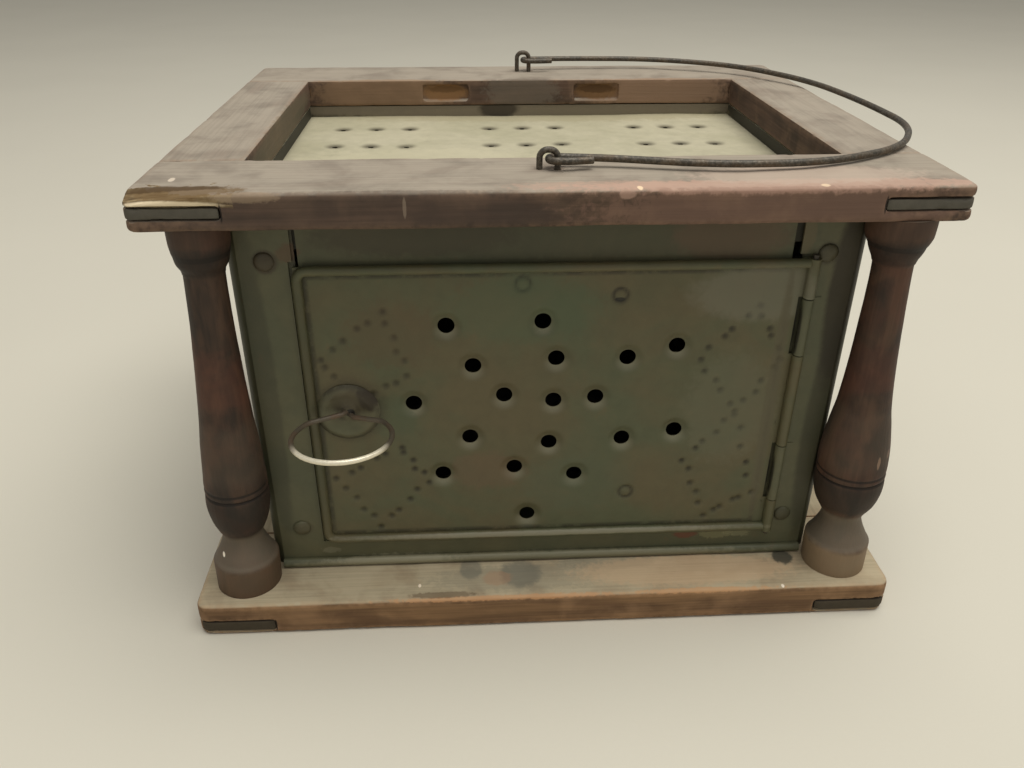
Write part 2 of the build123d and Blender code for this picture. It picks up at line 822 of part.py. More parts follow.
# ================================================================ turn latch
latch_seat = Vector(latch_x, door_face, latch_z)
latch_axis = Axis(latch_seat, (0, 1, 0))
latch_profile = Plane(origin=latch_seat, x_dir=(1, 0, 0), z_dir=(0, 0, 1))
latch_bore = latch_wire_radius + latch_clearance
flat_radius = 0.32 * escutcheon_radius
waist_radius = 0.72 * escutcheon_radius
with BuildPart() as latch_escutcheon:
    with BuildSketch(latch_profile):
        with BuildLine():
            Line((latch_bore, 0), (flat_radius, 0))
            ThreePointArc(
                (flat_radius, 0),
                (waist_radius, -0.45 * escutcheon_dish),
                (escutcheon_radius, -escutcheon_dish),
            )
            Line((escutcheon_radius, -escutcheon_dish), (escutcheon_radius, -escutcheon_dish - escutcheon_sheet))
            ThreePointArc(
                (escutcheon_radius, -escutcheon_dish - escutcheon_sheet),
                (waist_radius, -0.45 * escutcheon_dish - escutcheon_sheet),
                (flat_radius, -escutcheon_sheet),
            )
            Polyline((flat_radius, -escutcheon_sheet), (latch_bore, -escutcheon_sheet), (latch_bore, 0))
        make_face()
    revolve(axis=latch_axis)
finish(latch_escutcheon.part, "latch_escutcheon")

finger_front = inner_front + finger_gap
stem_end = finger_front + finger_thickness + latch_clearance
ring_rear = door_face - escutcheon_sheet - latch_ring_gap - latch_wire_radius
with BuildPart() as latch_ring:
    with Locations(Location((latch_x, ring_rear, latch_z), (-latch_ring_lift, 0, 0))):
        with Locations((0, -latch_ring_radius, 0)):
            Torus(latch_ring_radius, latch_wire_radius)
    with Locations(Location((latch_x, (ring_rear + stem_end) / 2, latch_z), (90, 0, 0))):
        Cylinder(latch_wire_radius, stem_end - ring_rear)
finish(latch_ring.part, "latch_ring")

with BuildPart() as latch_finger:
    with BuildSketch(Plane.XZ.offset(-finger_front)):
        with Locations((latch_x, latch_z)):
            Circle(finger_width / 2)
        fill_pane(
            latch_x - finger_width / 2,
            latch_x + finger_width / 2,
            latch_z - finger_length + finger_width / 2,
            latch_z,
        )
        with Locations((latch_x, latch_z - finger_length + finger_width / 2)):
            Circle(finger_width / 2)
        with Locations((latch_x, latch_z)):
            Circle(latch_wire_radius + finger_fit, mode=Mode.SUBTRACT)
    extrude(amount=-finger_thickness)
finish(latch_finger.part, "latch_finger")

# ================================================================ ember pan
pan_bottom = base_thickness + sheet + pan_lift
pan_back = tray_back - sheet - pan_back_gap
pan_middle = pan_back - pan_depth / 2
pan_top = pan_bottom + pan_height
with BuildPart() as ember_pan:
    with BuildSketch(Plane.XY.offset(pan_bottom)):
        with Locations((pan_x, pan_middle)):
            RectangleRounded(pan_width, pan_depth, pan_corner_radius)
    extrude(amount=pan_height)
    with BuildSketch(Plane.XY.offset(pan_top - sheet)):
        with Locations((pan_x, pan_middle)):
            RectangleRounded(pan_width + 2 * pan_lip, pan_depth + 2 * pan_lip, pan_corner_radius + pan_lip)
    extrude(amount=sheet)
    with BuildSketch(Plane.XY.offset(pan_bottom + sheet)):
        with Locations((pan_x, pan_middle)):
            RectangleRounded(pan_width - 2 * sheet, pan_depth - 2 * sheet, pan_corner_radius - sheet)
    extrude(amount=pan_height, mode=Mode.SUBTRACT)
finish(ember_pan.part, "ember_pan")

# ================================================================ bail handle and staples
eye_bends = (bail_eye_bend, bail_eye_bend)
bail_route = [*bail_front_bow, *((reach, bail_span - ahead) for reach, ahead in bail_rear_bow)]
route_radii = []
for index, point in enumerate(bail_route):
    before = bail_route[index - 1] if index else (0, bail_eye_half_width)
    after = bail_route[index + 1] if index + 1 < len(bail_route) else (0, bail_span + bail_eye_half_width)
    run_in = Vector(point[0] - before[0], point[1] - before[1], 0)
    run_out = Vector(after[0] - point[0], after[1] - point[1], 0)
    half_turn = radians(run_in.get_angle(run_out) / 2)
    route_radii.append(0.45 * min(run_in.length, run_out.length) / tan(half_turn))
bail_points = [
    (bail_eye_length, -bail_tail_offset),
    (bail_eye_length / 2, -bail_eye_half_width),
    (0, -bail_eye_half_width),
    (0, bail_eye_half_width),
    *bail_route,
    (0, bail_span + bail_eye_half_width),
    (0, bail_span - bail_eye_half_width),
    (bail_eye_length / 2, bail_span - bail_eye_half_width),
    (bail_eye_length, bail_span - bail_tail_offset),
]
bail_radii = [bail_tail_bend, *eye_bends, *route_radii, *eye_bends, bail_tail_bend]
with BuildPart() as bail_handle:
    with BuildLine(bail_plane) as bail_path:
        FilletPolyline(*bail_points, radius=bail_radii)
    with BuildSketch(Plane(origin=bail_path.line @ 0, z_dir=bail_path.line % 0)):
        Circle(bail_wire_radius)
    sweep()
finish(bail_handle.part, "bail_handle")

for name, pivot, rise in (
    ("front", front_pivot, front_staple_rise),
    ("rear", rear_pivot, rear_staple_rise),
):
    crown = rise - staple_wire_radius
    half_spread = staple_leg_spread / 2
    with BuildPart() as staple:
        with BuildLine(Plane(origin=(pivot[0], pivot[1], top_face), x_dir=(1, 0, 0), z_dir=(0, -1, 0))):
            FilletPolyline(
                (-half_spread, -staple_leg_depth),
                (-half_spread, crown),
                (half_spread, crown),
                (half_spread, -staple_leg_depth),
                radius=staple_bend,
            )
        leg_start = (pivot[0] - half_spread, pivot[1], top_face - staple_leg_depth)
        with BuildSketch(Plane(origin=leg_start, z_dir=(0, 0, 1))):
            Circle(staple_wire_radius)
        sweep()
    finish(staple.part, f"{name}_staple")
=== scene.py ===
"""Looks of the antique foot warmer: wooden frames, turned posts, a punched tin box, a latch and a wire bail.

Sizes are in millimetres until a mesh is placed, and the scene is in metres.
"""

import logging
from collections.abc import Callable, Mapping, Sequence
from dataclasses import dataclass, field, fields, replace
from enum import Enum
from math import copysign, cos, pi, radians, sin, tau
from typing import Any

import bmesh
import bpy
from mathutils import Matrix, Vector


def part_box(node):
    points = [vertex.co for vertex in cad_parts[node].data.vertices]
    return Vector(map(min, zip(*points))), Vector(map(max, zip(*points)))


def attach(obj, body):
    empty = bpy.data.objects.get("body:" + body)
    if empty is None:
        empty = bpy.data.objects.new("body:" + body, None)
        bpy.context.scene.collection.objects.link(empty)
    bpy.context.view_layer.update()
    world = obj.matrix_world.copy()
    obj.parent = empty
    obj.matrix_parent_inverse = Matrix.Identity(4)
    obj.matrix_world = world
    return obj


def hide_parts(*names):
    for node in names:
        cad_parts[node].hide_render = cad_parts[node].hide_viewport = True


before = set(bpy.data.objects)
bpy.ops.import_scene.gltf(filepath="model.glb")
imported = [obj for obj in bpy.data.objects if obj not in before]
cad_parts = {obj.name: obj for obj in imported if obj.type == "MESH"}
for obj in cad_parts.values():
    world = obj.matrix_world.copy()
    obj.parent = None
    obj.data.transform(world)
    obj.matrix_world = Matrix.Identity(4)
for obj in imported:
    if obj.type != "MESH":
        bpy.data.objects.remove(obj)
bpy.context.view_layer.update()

log = logging.getLogger("foot_warmer")

Colour = tuple[int, int, int]
Point = tuple[float, float, float]
Flat = tuple[float, float]
Block = tuple[Point, Point]  # lowest and highest corner

MM = 0.001
MERGE = 0.002  # points of a node's triangles that lie this near are one
FADE = 0.08  # a block's mask fades over this, on both sides of its faces
SHARP = radians(42)  # a steeper edge is drawn sharp
JOINT_LINE: Colour = (46, 39, 31)
JOINT_LINE_WIDTH = 0.4
RAW_WOOD: Colour = (148, 128, 94)
RAW_DEEP: Colour = (80, 62, 38)


class Grain(Enum):
    """The axis that the wood's fibres run along."""

    ACROSS = 0
    DEEP = 1
    UPRIGHT = 2

    def sizes(self, along: float, across: float) -> Point:
        """Lengths of a fibre-like pattern on the three axes."""
        return tuple(along if axis == self.value else across for axis in range(3))


class Facing(Enum):
    """Which way a sheet's outer face looks, as the sheet's own two axes in the scene."""

    FRONT = ((1, 0, 0), (0, 0, 1))
    BACK = ((-1, 0, 0), (0, 0, 1))
    UP = ((1, 0, 0), (0, 1, 0))

    def place(self, middle: Vector) -> Matrix:
        """Lay a flat sheet in its place.

        Args:
            middle: The sheet's middle, in millimetres.

        Returns:
            Matrix for a sheet that is drawn flat, in metres.
        """
        across, up = (Vector(axis) for axis in self.value)
        turn = Matrix((across, up, across.cross(up))).transposed().to_4x4()
        return Matrix.Translation(middle * MM) @ turn


def linear(colour: Colour) -> tuple[float, float, float, float]:
    """Linear values of a colour that is given on a screen's scale of 0 to 255."""
    parts = [c / 255 for c in colour]
    return (*[c / 12.92 if c <= 0.04045 else ((c + 0.055) / 1.055) ** 2.4 for c in parts], 1.0)


# ------------------------------------------------------------------ plain meshes


def linked(name: str, data: bpy.types.ID) -> bpy.types.Object:
    """Put a new object in the scene.

    Args:
        name: Its name.
        data: What it shows.

    Returns:
        The object.
    """
    thing = bpy.data.objects.new(name, data)
    bpy.context.scene.collection.objects.link(thing)
    return thing


def drawn(points: Sequence[Point], edges: Sequence = (), faces: Sequence = ()) -> bpy.types.Mesh:
    """Draw a mesh.

    Args:
        points: Its points, in millimetres.
        edges: Pairs of point numbers.
        faces: Rings of point numbers.

    Returns:
        The mesh, in metres.
    """
    mesh = bpy.data.meshes.new("drawn")
    mesh.from_pydata([tuple(c * MM for c in point) for point in points], edges, faces)
    return mesh


def dots(places: Sequence[Flat]) -> bpy.types.Object:
    """Helper object with one loose point at each flat place."""
    return linked("places", drawn([(x, y, 0) for x, y in places]))


def line(points: Sequence[Point]) -> bpy.types.Mesh:
    """Open line through points."""
    return drawn(points, edges=[(index, index + 1) for index in range(len(points) - 1)])


def add_wall(host: bpy.types.Object, thickness: float) -> None:
    """Give an object's open sheet a wall behind its outer face.

    Args:
        host: The object.
        thickness: The wall's thickness.
    """
    wall = host.modifiers.new("wall", "SOLIDIFY")
    wall.thickness = thickness * MM
    wall.offset = -1.0


def finished(host: bpy.types.Object) -> bpy.types.Mesh:
    """Apply the modifiers of a helper object.

    Args:
        host: The helper, which is removed.

    Returns:
        Its plain mesh.
    """
    mesh = bpy.data.meshes.new_from_object(host.evaluated_get(bpy.context.evaluated_depsgraph_get()))
    bpy.data.objects.remove(host)
    return mesh


def thicken(mesh: bpy.types.Mesh, thickness: float) -> bpy.types.Mesh:
    """Give a sheet its thickness.

    Args:
        mesh: The sheet.
        thickness: The wall behind its outer face.

    Returns:
        The thickened mesh.
    """
    host = linked("sheet", mesh)
    add_wall(host, thickness)
    return finished(host)


def plate(start: Flat, end: Flat, foot: float, head: float, thickness: float) -> bpy.types.Mesh:
    """Upright flat plate.

    Args:
        start: Where it starts on the ground, on the left as seen from outside.
        end: Where it ends.
        foot: Height of its lower edge.
        head: Height of its upper edge.
        thickness: Its thickness, behind its outer face.

    Returns:
        The plate's mesh.
    """
    outline = [(*start, foot), (*end, foot), (*end, head), (*start, head)]
    return thicken(drawn(outline, faces=[(0, 1, 2, 3)]), thickness)


def plain(shape: bmesh.types.BMesh) -> bpy.types.Mesh:
    """Turn a shape that is being worked on into a mesh.

    Args:
        shape: The shape, which is freed.

    Returns:
        The mesh.
    """
    mesh = bpy.data.meshes.new("plain")
    shape.to_mesh(mesh)
    shape.free()
    return mesh


def join(meshes: Sequence[bpy.types.Mesh], material: bpy.types.Material) -> bpy.types.Mesh:
    """Join meshes that share a finish.

    Args:
        meshes: The parts.
        material: Their finish.

    Returns:
        One smooth mesh.
    """
    both = bmesh.new()
    for mesh in meshes:
        both.from_mesh(mesh)
    joined = plain(both)
    joined.materials.clear()
    joined.materials.append(material)
    for face in joined.polygons:
        face.material_index = 0
        face.use_smooth = True
    return joined


def corners(node: str) -> tuple[Vector, Vector]:
    """Lowest and highest corner of a node in millimetres."""
    low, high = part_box(node)
    return low / MM, high / MM


def on_circle(radius: float, count: int) -> list[Flat]:
    """Even places on a circle."""
    return [(radius * cos(tau * i / count), radius * sin(tau * i / count)) for i in range(count)]


# ------------------------------------------------------------------ trees of nodes


class Graph:
    """Adds nodes to one tree and joins them."""

    def __init__(self, tree: bpy.types.NodeTree) -> None:
        """Start on a tree."""
        self.tree = tree

    def add(self, kind: str, inputs: Mapping | None = None, out: int | str = 0, **settings: Any) -> Any:
        """Add one node.

        Args:
            kind: The node's type.
            inputs: A value or another node's socket for each input, by name or number.
            out: Which output is wanted.
            **settings: The node's own options.

        Returns:
            The wanted output socket.
        """
        node = self.tree.nodes.new(kind)
        for name, value in settings.items():
            setattr(node, name, value)
        for key, value in (inputs or {}).items():
            self.feed(node.inputs[key], value)
        return node.outputs[out]

    def feed(self, socket: bpy.types.NodeSocket, value: Any) -> None:
        """Join a socket to another one, or set its value.

        Args:
            socket: The input.
            value: Another socket, or a plain value.
        """
        if isinstance(value, bpy.types.NodeSocket):
            self.tree.links.new(value, socket)
        else:
            socket.default_value = linear(value) if socket.type == "RGBA" else value

    def maths(self, operation: str, *values: Any, clamp: bool = False) -> Any:
        """One step of arithmetic."""
        return self.add("ShaderNodeMath", dict(enumerate(values)), operation=operation, use_clamp=clamp)

    def plus(self, first: Any, second: Any) -> Any:
        """Sum of two numbers."""
        return self.maths("ADD", first, second)

    def less(self, first: Any, second: Any) -> Any:
        """A number less another one."""
        return self.maths("SUBTRACT", first, second)

    def times(self, first: Any, second: Any) -> Any:
        """Product of two numbers."""
        return self.maths("MULTIPLY", first, second)

    def scaled(self, value: Any, factor: Any, start: Any) -> Any:
        """A number times a factor, on top of a start."""
        return self.maths("MULTIPLY_ADD", value, factor, start)

    def most(self, first: Any, second: Any) -> Any:
        """The larger of two numbers."""
        return self.maths("MAXIMUM", first, second)

    def step(self, value: Any, low: Any, high: Any) -> Any:
        """Rise smoothly from 0 at low to 1 at high."""
        return self.add("ShaderNodeMapRange", {0: value, 1: low, 2: high}, interpolation_type="SMOOTHSTEP")

    def fall(self, value: Any, low: Any, high: Any) -> Any:
        """Fall smoothly from 1 at low to 0 at high."""
        ranges = {0: value, 1: low, 2: high, 3: 1.0, 4: 0.0}
        return self.add("ShaderNodeMapRange", ranges, interpolation_type="SMOOTHSTEP")

    def vector(self, operation: str, *values: Any, out: int = 0) -> Any:
        """One step of arithmetic on vectors."""
        return self.add("ShaderNodeVectorMath", dict(enumerate(values)), out, operation=operation)

    def split(self, vector: Any) -> list[Any]:
        """The three parts of a vector."""
        first = self.add("ShaderNodeSeparateXYZ", {0: vector})
        return [first.node.outputs[axis] for axis in range(3)]


class Paint(Graph):
    """The node tree of one material."""

    def __init__(self, name: str) -> None:
        """Start an empty material.

        Args:
            name: The material's name.
        """
        self.material = bpy.data.materials.new(name)
        self.material.use_nodes = True
        super().__init__(self.material.node_tree)
        self.tree.nodes.clear()

    def place(self) -> Any:
        """The object's own coordinates."""
        return self.add("ShaderNodeTexCoord", out="Object")

    def upward(self) -> Any:
        """How far the surface looks up, from -1 to 1."""
        return self.split(self.add("ShaderNodeTexCoord", out="Normal"))[2]

    def kept(self, name: str) -> Any:
        """A number that was kept on the mesh."""
        return self.add("ShaderNodeAttribute", out="Fac", attribute_name=name)

    def mix(self, share: Any, first: Any, second: Any) -> Any:
        """Blend two colours."""
        return self.add("ShaderNodeMix", {0: share, 6: first, 7: second}, 2, data_type="RGBA")

    def darken(self, tone: Any, value: Any) -> Any:
        """Multiply a colour by a number."""
        colours = {0: 1.0, 6: tone, 7: value}
        return self.add("ShaderNodeMix", colours, 2, data_type="RGBA", blend_type="MULTIPLY")

    def noise(
        self, sizes: float | Point, detail: float, rough: float, bend: float = 0.0, shift: float = 0.0
    ) -> Any:
        """Cloudy pattern between 0 and 1 on the object's own coordinates.

        Args:
            sizes: Size of its clouds, the same or one for each axis.
            detail: How many finer layers it has.
            rough: How strong the finer layers are.
            bend: How much it is distorted.
            shift: Moves it, so that two patterns of one size differ.

        Returns:
            The pattern's socket.
        """
        three = sizes if isinstance(sizes, tuple) else (sizes, sizes, sizes)
        spread = {
            "Vector": self.place(),
            "Scale": tuple(1 / (size * MM) for size in three),
            "Location": (shift, 1.7 * shift, 0.6 * shift),
        }
        where = self.add("ShaderNodeMapping", spread)
        inputs = {"Vector": where, "Scale": 1.0, "Detail": detail, "Roughness": rough, "Distortion": bend}
        return self.add("ShaderNodeTexNoise", inputs)

    def near(self, centre: Point, reach: Point, ragged: float) -> Any:
        """Soft mask of a patch round a point.

        Args:
            centre: Its middle.
            reach: Its half sizes.
            ragged: How far noise breaks its edge, as a share of its size.

        Returns:
            The mask's socket.
        """
        offset = self.vector("SUBTRACT", self.place(), tuple(c * MM for c in centre))
        length = self.vector("LENGTH", self.vector("DIVIDE", offset, tuple(r * MM for r in reach)), out=1)
        size = max(2.0, min(reach) * 0.9)
        cloud = self.noise(size, detail=4.0, rough=0.65, bend=0.4, shift=centre[0] * 0.1)
        return self.fall(self.plus(length, self.scaled(cloud, -2 * ragged, ragged)), 0.75, 1.15)

    def within(self, low: Point, high: Point, ragged: float = 0.0) -> Any:
        """Mask of a block between two corners.

        Args:
            low: Its lowest corner.
            high: Its highest corner.
            ragged: How far noise breaks its faces, in millimetres.

        Returns:
            The mask's socket.
        """
        middle = tuple((a + b) / 2 * MM for a, b in zip(low, high))
        half = tuple((b - a) / 2 * MM for a, b in zip(low, high))
        offset = self.vector("ABSOLUTE", self.vector("SUBTRACT", self.place(), middle))
        x, y, z = self.split(self.vector("SUBTRACT", offset, half))
        beyond = self.most(self.most(x, y), z)
        if ragged:
            cloud = self.noise(3.0 * ragged, detail=3.0, rough=0.6)
            beyond = self.plus(beyond, self.scaled(cloud, 2 * ragged * MM, -ragged * MM))
        return self.fall(beyond, -FADE * MM, FADE * MM)

    def finish(
        self,
        colour: Any,
        roughness: Any,
        height: Any,
        depth: float,
        specular: float = 0.5,
        metallic: float = 0.0,
    ) -> bpy.types.Material:
        """Join the shader.

        Args:
            colour: Base colour.
            roughness: Roughness.
            height: Relief between 0 and 1.
            depth: The relief's depth.
            specular: Strength of the gloss.
            metallic: How much of the surface is bare metal.

        Returns:
            The material.
        """
        normal = self.add("ShaderNodeBump", {"Height": height, "Distance": depth * MM, "Strength": 1.0})
        inputs = {
            "Base Color": colour,
            "Roughness": roughness,
            "Metallic": metallic,
            "Normal": normal,
            "Specular IOR Level": specular,
        }
        shader = self.add("ShaderNodeBsdfPrincipled", inputs)
        self.feed(self.tree.nodes.new("ShaderNodeOutputMaterial").inputs["Surface"], shader)
        return self.material


class Recipe(Graph):
    """One geometry tree with named inputs, run on an object to give a plain mesh."""

    def __init__(self, name: str, floats: Sequence[str], **others: Sequence[str]) -> None:
        """Start a tree.

        Args:
            name: Its name.
            floats: Names of its inputs that are numbers.
            **others: Names of its inputs of another kind, such as Object.
        """
        super().__init__(bpy.data.node_groups.new(name, "GeometryNodeTree"))
        kinds = {"Geometry": ["Geometry"], "Float": floats, **others, "Material": ["Material"]}
        face = self.tree.interface
        for kind, labels in kinds.items():
            for label in labels:
                face.new_socket(label, in_out="INPUT", socket_type=f"NodeSocket{kind}")
        face.new_socket("Geometry", in_out="OUTPUT", socket_type="NodeSocketGeometry")
        self.given = self.tree.nodes.new("NodeGroupInput").outputs

    def place(self) -> Any:
        """The points' positions."""
        return self.add("GeometryNodeInputPosition")

    def cloud(self, scale: float, detail: float = 2.0, rough: float = 0.5) -> Any:
        """Cloudy pattern between 0 and 1 that the tree's seed moves.

        Args:
            scale: Clouds in a metre.
            detail: How many finer layers it has.
            rough: How strong the finer layers are.

        Returns:
            The pattern's socket.
        """
        inputs = {"Vector": self.place(), "W": self.given["Seed"]}
        inputs |= {"Scale": scale, "Detail": detail, "Roughness": rough}
        return self.add("ShaderNodeTexNoise", inputs, noise_dimensions="4D")

    def evenly(self, value: Any) -> Any:
        """Vector with the same number on all three axes."""
        return self.add("ShaderNodeCombineXYZ", {0: value, 1: value, 2: value})

    def swollen(self, geometry: Any, amount: Any) -> Any:
        """Geometry moved out along its normals."""
        offset = self.vector("MULTIPLY", self.add("GeometryNodeInputNormal"), self.evenly(amount))
        return self.add("GeometryNodeSetPosition", {0: geometry, "Offset": offset})

    def uneven(self, geometry: Any, pattern: Any, amount: Any) -> Any:
        """Geometry moved in and out by a pattern."""
        return self.swollen(geometry, self.times(self.less(pattern, 0.5), amount))

    def keep(self, geometry: Any, name: str, value: Any, kind: str = "FLOAT") -> Any:
        """Geometry that carries a value under a name."""
        return self.add("GeometryNodeStoreNamedAttribute", {0: geometry, 2: name, 3: value}, data_type=kind)

    def close(self, geometry: Any) -> None:
        """End the tree with plain, smooth geometry that has its material.

        Args:
            geometry: What the tree has made.
        """
        real = self.add("GeometryNodeRealizeInstances", {0: geometry})
        smooth = self.add("GeometryNodeSetShadeSmooth", {0: real})
        dressed = self.add("GeometryNodeSetMaterial", {0: smooth, "Material": self.given["Material"]})
        self.feed(self.tree.nodes.new("NodeGroupOutput").inputs[0], dressed)

    def run(self, base: bpy.types.Mesh, values: Mapping[str, Any], thickness: float = 0.0) -> bpy.types.Mesh:
        """Run the tree.

        Args:
            base: The mesh that it starts from.
            values: A value for each named input.
            thickness: Wall behind the faces that it makes.

        Returns:
            The finished mesh, in metres.
        """
        host = linked("host", base)
        modifier = host.modifiers.new("recipe", "NODES")
        modifier.node_group = self.tree
        for item in self.tree.interface.items_tree:
            if item.in_out == "INPUT" and item.name in values:
                modifier[item.identifier] = values[item.name]
        if thickness:
            add_wall(host, thickness)
        return finished(host)


@dataclass(frozen=True)
class Punching:
    """What is done to a tin sheet. Its fields are the inputs of the punch tree."""

    width: float
    height: float
    seed: float
    holes: tuple[Flat, ...]
    dents: tuple[Flat, ...] = ()
    dots: tuple[Flat, ...] = ()
    cell: float = 1.1
    hole_radius: float = 2.4
    crater_width: float = 2.2
    crater_depth: float = 0.55
    crater_dirt: float = 0.35  # a share
    dent_radius: float = 0.0
    dent_depth: float = 0.0
    dot_radius: float = 0.0
    dot_depth: float = 0.0
    sway: float = 1.2
    margin: float = 16.0  # the sway dies away over this towards the edges
    grime_line: float = 0.0  # distance from the edges of a dark line of grime and painted shade in the crease
    grime_width: float = 4.0

    @staticmethod
    def label(name: str) -> str:
        """Name of a field's input."""
        return name.replace("_", " ").title()


class PunchedSheet(Recipe):
    """Tree for an old tin sheet: punched holes with pushed-in rims, struck rings, pricked dots and sway."""

    places = ("holes", "dents", "dots")
    shares = ("seed", "crater_dirt")  # numbers that aren't lengths

    ring_width: float = 1.0
    ring_dirt: float = 0.75
    prick_start: float = 0.25
    sway_scale: float = 28.0
    sway_rough: float = 0.4
    reach: float = 0.3  # share of a cell beyond a hole's rim, within which points are drawn to the rim

    def __init__(self) -> None:
        """Make the tree."""
        floats = [item.name for item in fields(Punching) if item.name not in self.places]
        places, numbers = ([Punching.label(name) for name in names] for names in (self.places, floats))
        super().__init__("punched_sheet", numbers, Object=places)
        given = self.given
        to_hole = self.distance("Holes")
        middle = to_hole.node.outputs["Position"]
        ray = self.vector("NORMALIZE", self.vector("SUBTRACT", self.place(), middle))
        rim = self.vector("ADD", middle, self.vector("MULTIPLY", ray, self.evenly(given["Hole Radius"])))
        opened = self.opened(to_hole, rim)
        crater = self.hollow("Holes", given["Hole Radius"], given["Crater Width"])
        from_ring = self.distance("Dents")
        off_ring = self.maths("ABSOLUTE", self.less(from_ring, given["Dent Radius"]))
        ring = self.times(self.fall(off_ring, 0.0, self.ring_width * MM), from_ring.node.outputs["Is Valid"])
        prick = self.hollow("Dots", self.prick_start * MM, given["Dot Radius"])
        border = self.border()
        held = self.step(border, 0.0, given["Margin"])
        swaying = self.less(self.cloud(self.sway_scale, rough=self.sway_rough), 0.5)
        sway = self.times(swaying, self.times(held, given["Sway"]))
        depth = self.times(crater, given["Crater Depth"])
        depth = self.scaled(ring, given["Dent Depth"], depth)
        depth = self.scaled(prick, given["Dot Depth"], depth)
        lift = self.add("ShaderNodeCombineXYZ", {2: self.less(sway, depth)})
        shaped = self.add("GeometryNodeSetPosition", {0: opened, "Offset": lift})
        struck = self.most(self.times(crater, given["Crater Dirt"]), self.times(ring, self.ring_dirt))
        sunk = self.keep(shaped, "sunk", self.most(struck, prick))
        # painted highlight: the lower slope of each crater is marked, and the finish paints it lighter
        below = self.most(self.times(self.split(ray)[1], -1.0), 0.0)
        dusted = self.keep(sunk, "dust", self.times(crater, below))
        # dark line at a set distance from the edges: grime and painted shade in the crease beside a bead
        off_line = self.maths("ABSOLUTE", self.less(border, given["Grime Line"]))
        self.close(self.keep(dusted, "grime", self.fall(off_line, 0.0, given["Grime Width"])))

    def sheet(self, work: Punching, material: bpy.types.Material, thickness: float) -> bpy.types.Mesh:
        """Punch a sheet, drawn flat round its middle.

        Args:
            work: What is done to it.
            material: Its finish.
            thickness: Its thickness, or 0 for its outer face alone.

        Returns:
            The sheet's mesh.
        """
        values, helpers = {"Material": material}, []
        for name, value in vars(work).items():
            if name in self.places:
                value = dots(value)
                helpers.append(value)
            elif name not in self.shares:
                value *= MM
            values[work.label(name)] = value
        mesh = self.run(bpy.data.meshes.new("nothing"), values, thickness)
        for helper in helpers:
            bpy.data.objects.remove(helper)
        return mesh

    def distance(self, points: str) -> Any:
        """Distance to the nearest of the named points."""
        cloud = self.add("GeometryNodeObjectInfo", {0: self.given[points]}, "Geometry")
        return self.add("GeometryNodeProximity", {0: cloud}, "Distance", target_element="POINTS")

    def hollow(self, points: str, start: Any, width: Any) -> Any:
        """Shape of the hollows round the named points, from 0 outside to 1 at their deepest."""
        found = self.distance(points)
        return self.times(self.fall(found, start, self.plus(start, width)), found.node.outputs["Is Valid"])

    def opened(self, to_hole: Any, rim: Any) -> Any:
        """Flat sheet with its holes cut out.

        Args:
            to_hole: Distance to the nearest hole's middle.
            rim: The nearest place on that hole's rim.

        Returns:
            The sheet's socket.
        """
        given = self.given
        grid = {}
        for axis, name in (("X", "Width"), ("Y", "Height")):
            grid[f"Size {axis}"] = given[name]
            grid[f"Vertices {axis}"] = self.plus(self.maths("DIVIDE", given[name], given["Cell"]), 1.0)
        sheet = self.add("GeometryNodeMeshGrid", grid)
        reach = self.scaled(given["Cell"], self.reach, given["Hole Radius"])
        inside = self.add("FunctionNodeCompare", {0: to_hole, 1: reach}, operation="LESS_THAN")
        flagged = self.keep(sheet, "inside", inside, "BOOLEAN")
        snapped = self.add("GeometryNodeSetPosition", {0: flagged, 1: inside, 2: rim})
        flag = self.add("GeometryNodeInputNamedAttribute", {0: "inside"}, data_type="BOOLEAN")
        return self.add("GeometryNodeDeleteGeometry", {0: snapped, 1: flag}, domain="FACE")

    def border(self) -> Any:
        """Distance to the nearest edge of the sheet.

        Returns:
            The distance's socket.
        """
        x, y, _ = self.split(self.vector("ABSOLUTE", self.place()))
        to_side = self.less(self.times(self.given["Width"], 0.5), x)
        to_end = self.less(self.times(self.given["Height"], 0.5), y)
        return self.maths("MINIMUM", to_side, to_end)


class BentWire(Recipe):
    """Tree for a bent wire or a rolled edge along a line, a little uneven as hand work is."""

    bend_points: int = 8
    sides: int = 14
    cloud_scale: float = 160.0

    def __init__(self) -> None:
        """Make the tree."""
        super().__init__("bent_wire", ["Radius", "Bend", "Uneven", "Piece", "Seed"])
        given = self.given
        path = self.add("GeometryNodeMeshToCurve", {0: given["Geometry"]})
        corner = {0: path, "Count": self.bend_points, "Radius": given["Bend"], "Limit Radius": True}
        bent = self.add("GeometryNodeFilletCurve", corner, mode="POLY")
        evened = self.add("GeometryNodeResampleCurve", {0: bent, "Length": given["Piece"]}, mode="LENGTH")
        circle = {"Resolution": self.sides, "Radius": given["Radius"]}
        ring = self.add("GeometryNodeCurvePrimitiveCircle", circle)
        tube = self.add("GeometryNodeCurveToMesh", {0: evened, 1: ring, "Fill Caps": True})
        self.close(self.uneven(tube, self.cloud(self.cloud_scale), given["Uneven"]))


class TurnedPost(Recipe):
    """Tree for a turned post: a line up its axis whose points carry its girth, swept round."""

    sides: int = 56
    cloud_scale: float = 70.0

    def __init__(self) -> None:
        """Make the tree."""
        super().__init__("turned_post", ["Uneven", "Seed"], Int=["Rings"])
        given = self.given
        axis = self.add("GeometryNodeMeshToCurve", {0: given["Geometry"]})
        soft = self.add("GeometryNodeCurveSplineType", {0: axis}, spline_type="CATMULL_ROM")
        evened = self.add("GeometryNodeResampleCurve", {0: soft, "Count": given["Rings"]})
        girth = self.add("GeometryNodeInputNamedAttribute", {0: "girth"}, data_type="FLOAT")
        sized = self.add("GeometryNodeSetCurveRadius", {0: evened, "Radius": girth})
        ring = self.add("GeometryNodeCurvePrimitiveCircle", {"Resolution": self.sides, "Radius": 1.0})
        turned = self.add("GeometryNodeCurveToMesh", {0: sized, 1: ring, "Scale": girth, "Fill Caps": True})
        self.close(self.uneven(turned, self.cloud(self.cloud_scale), given["Uneven"]))


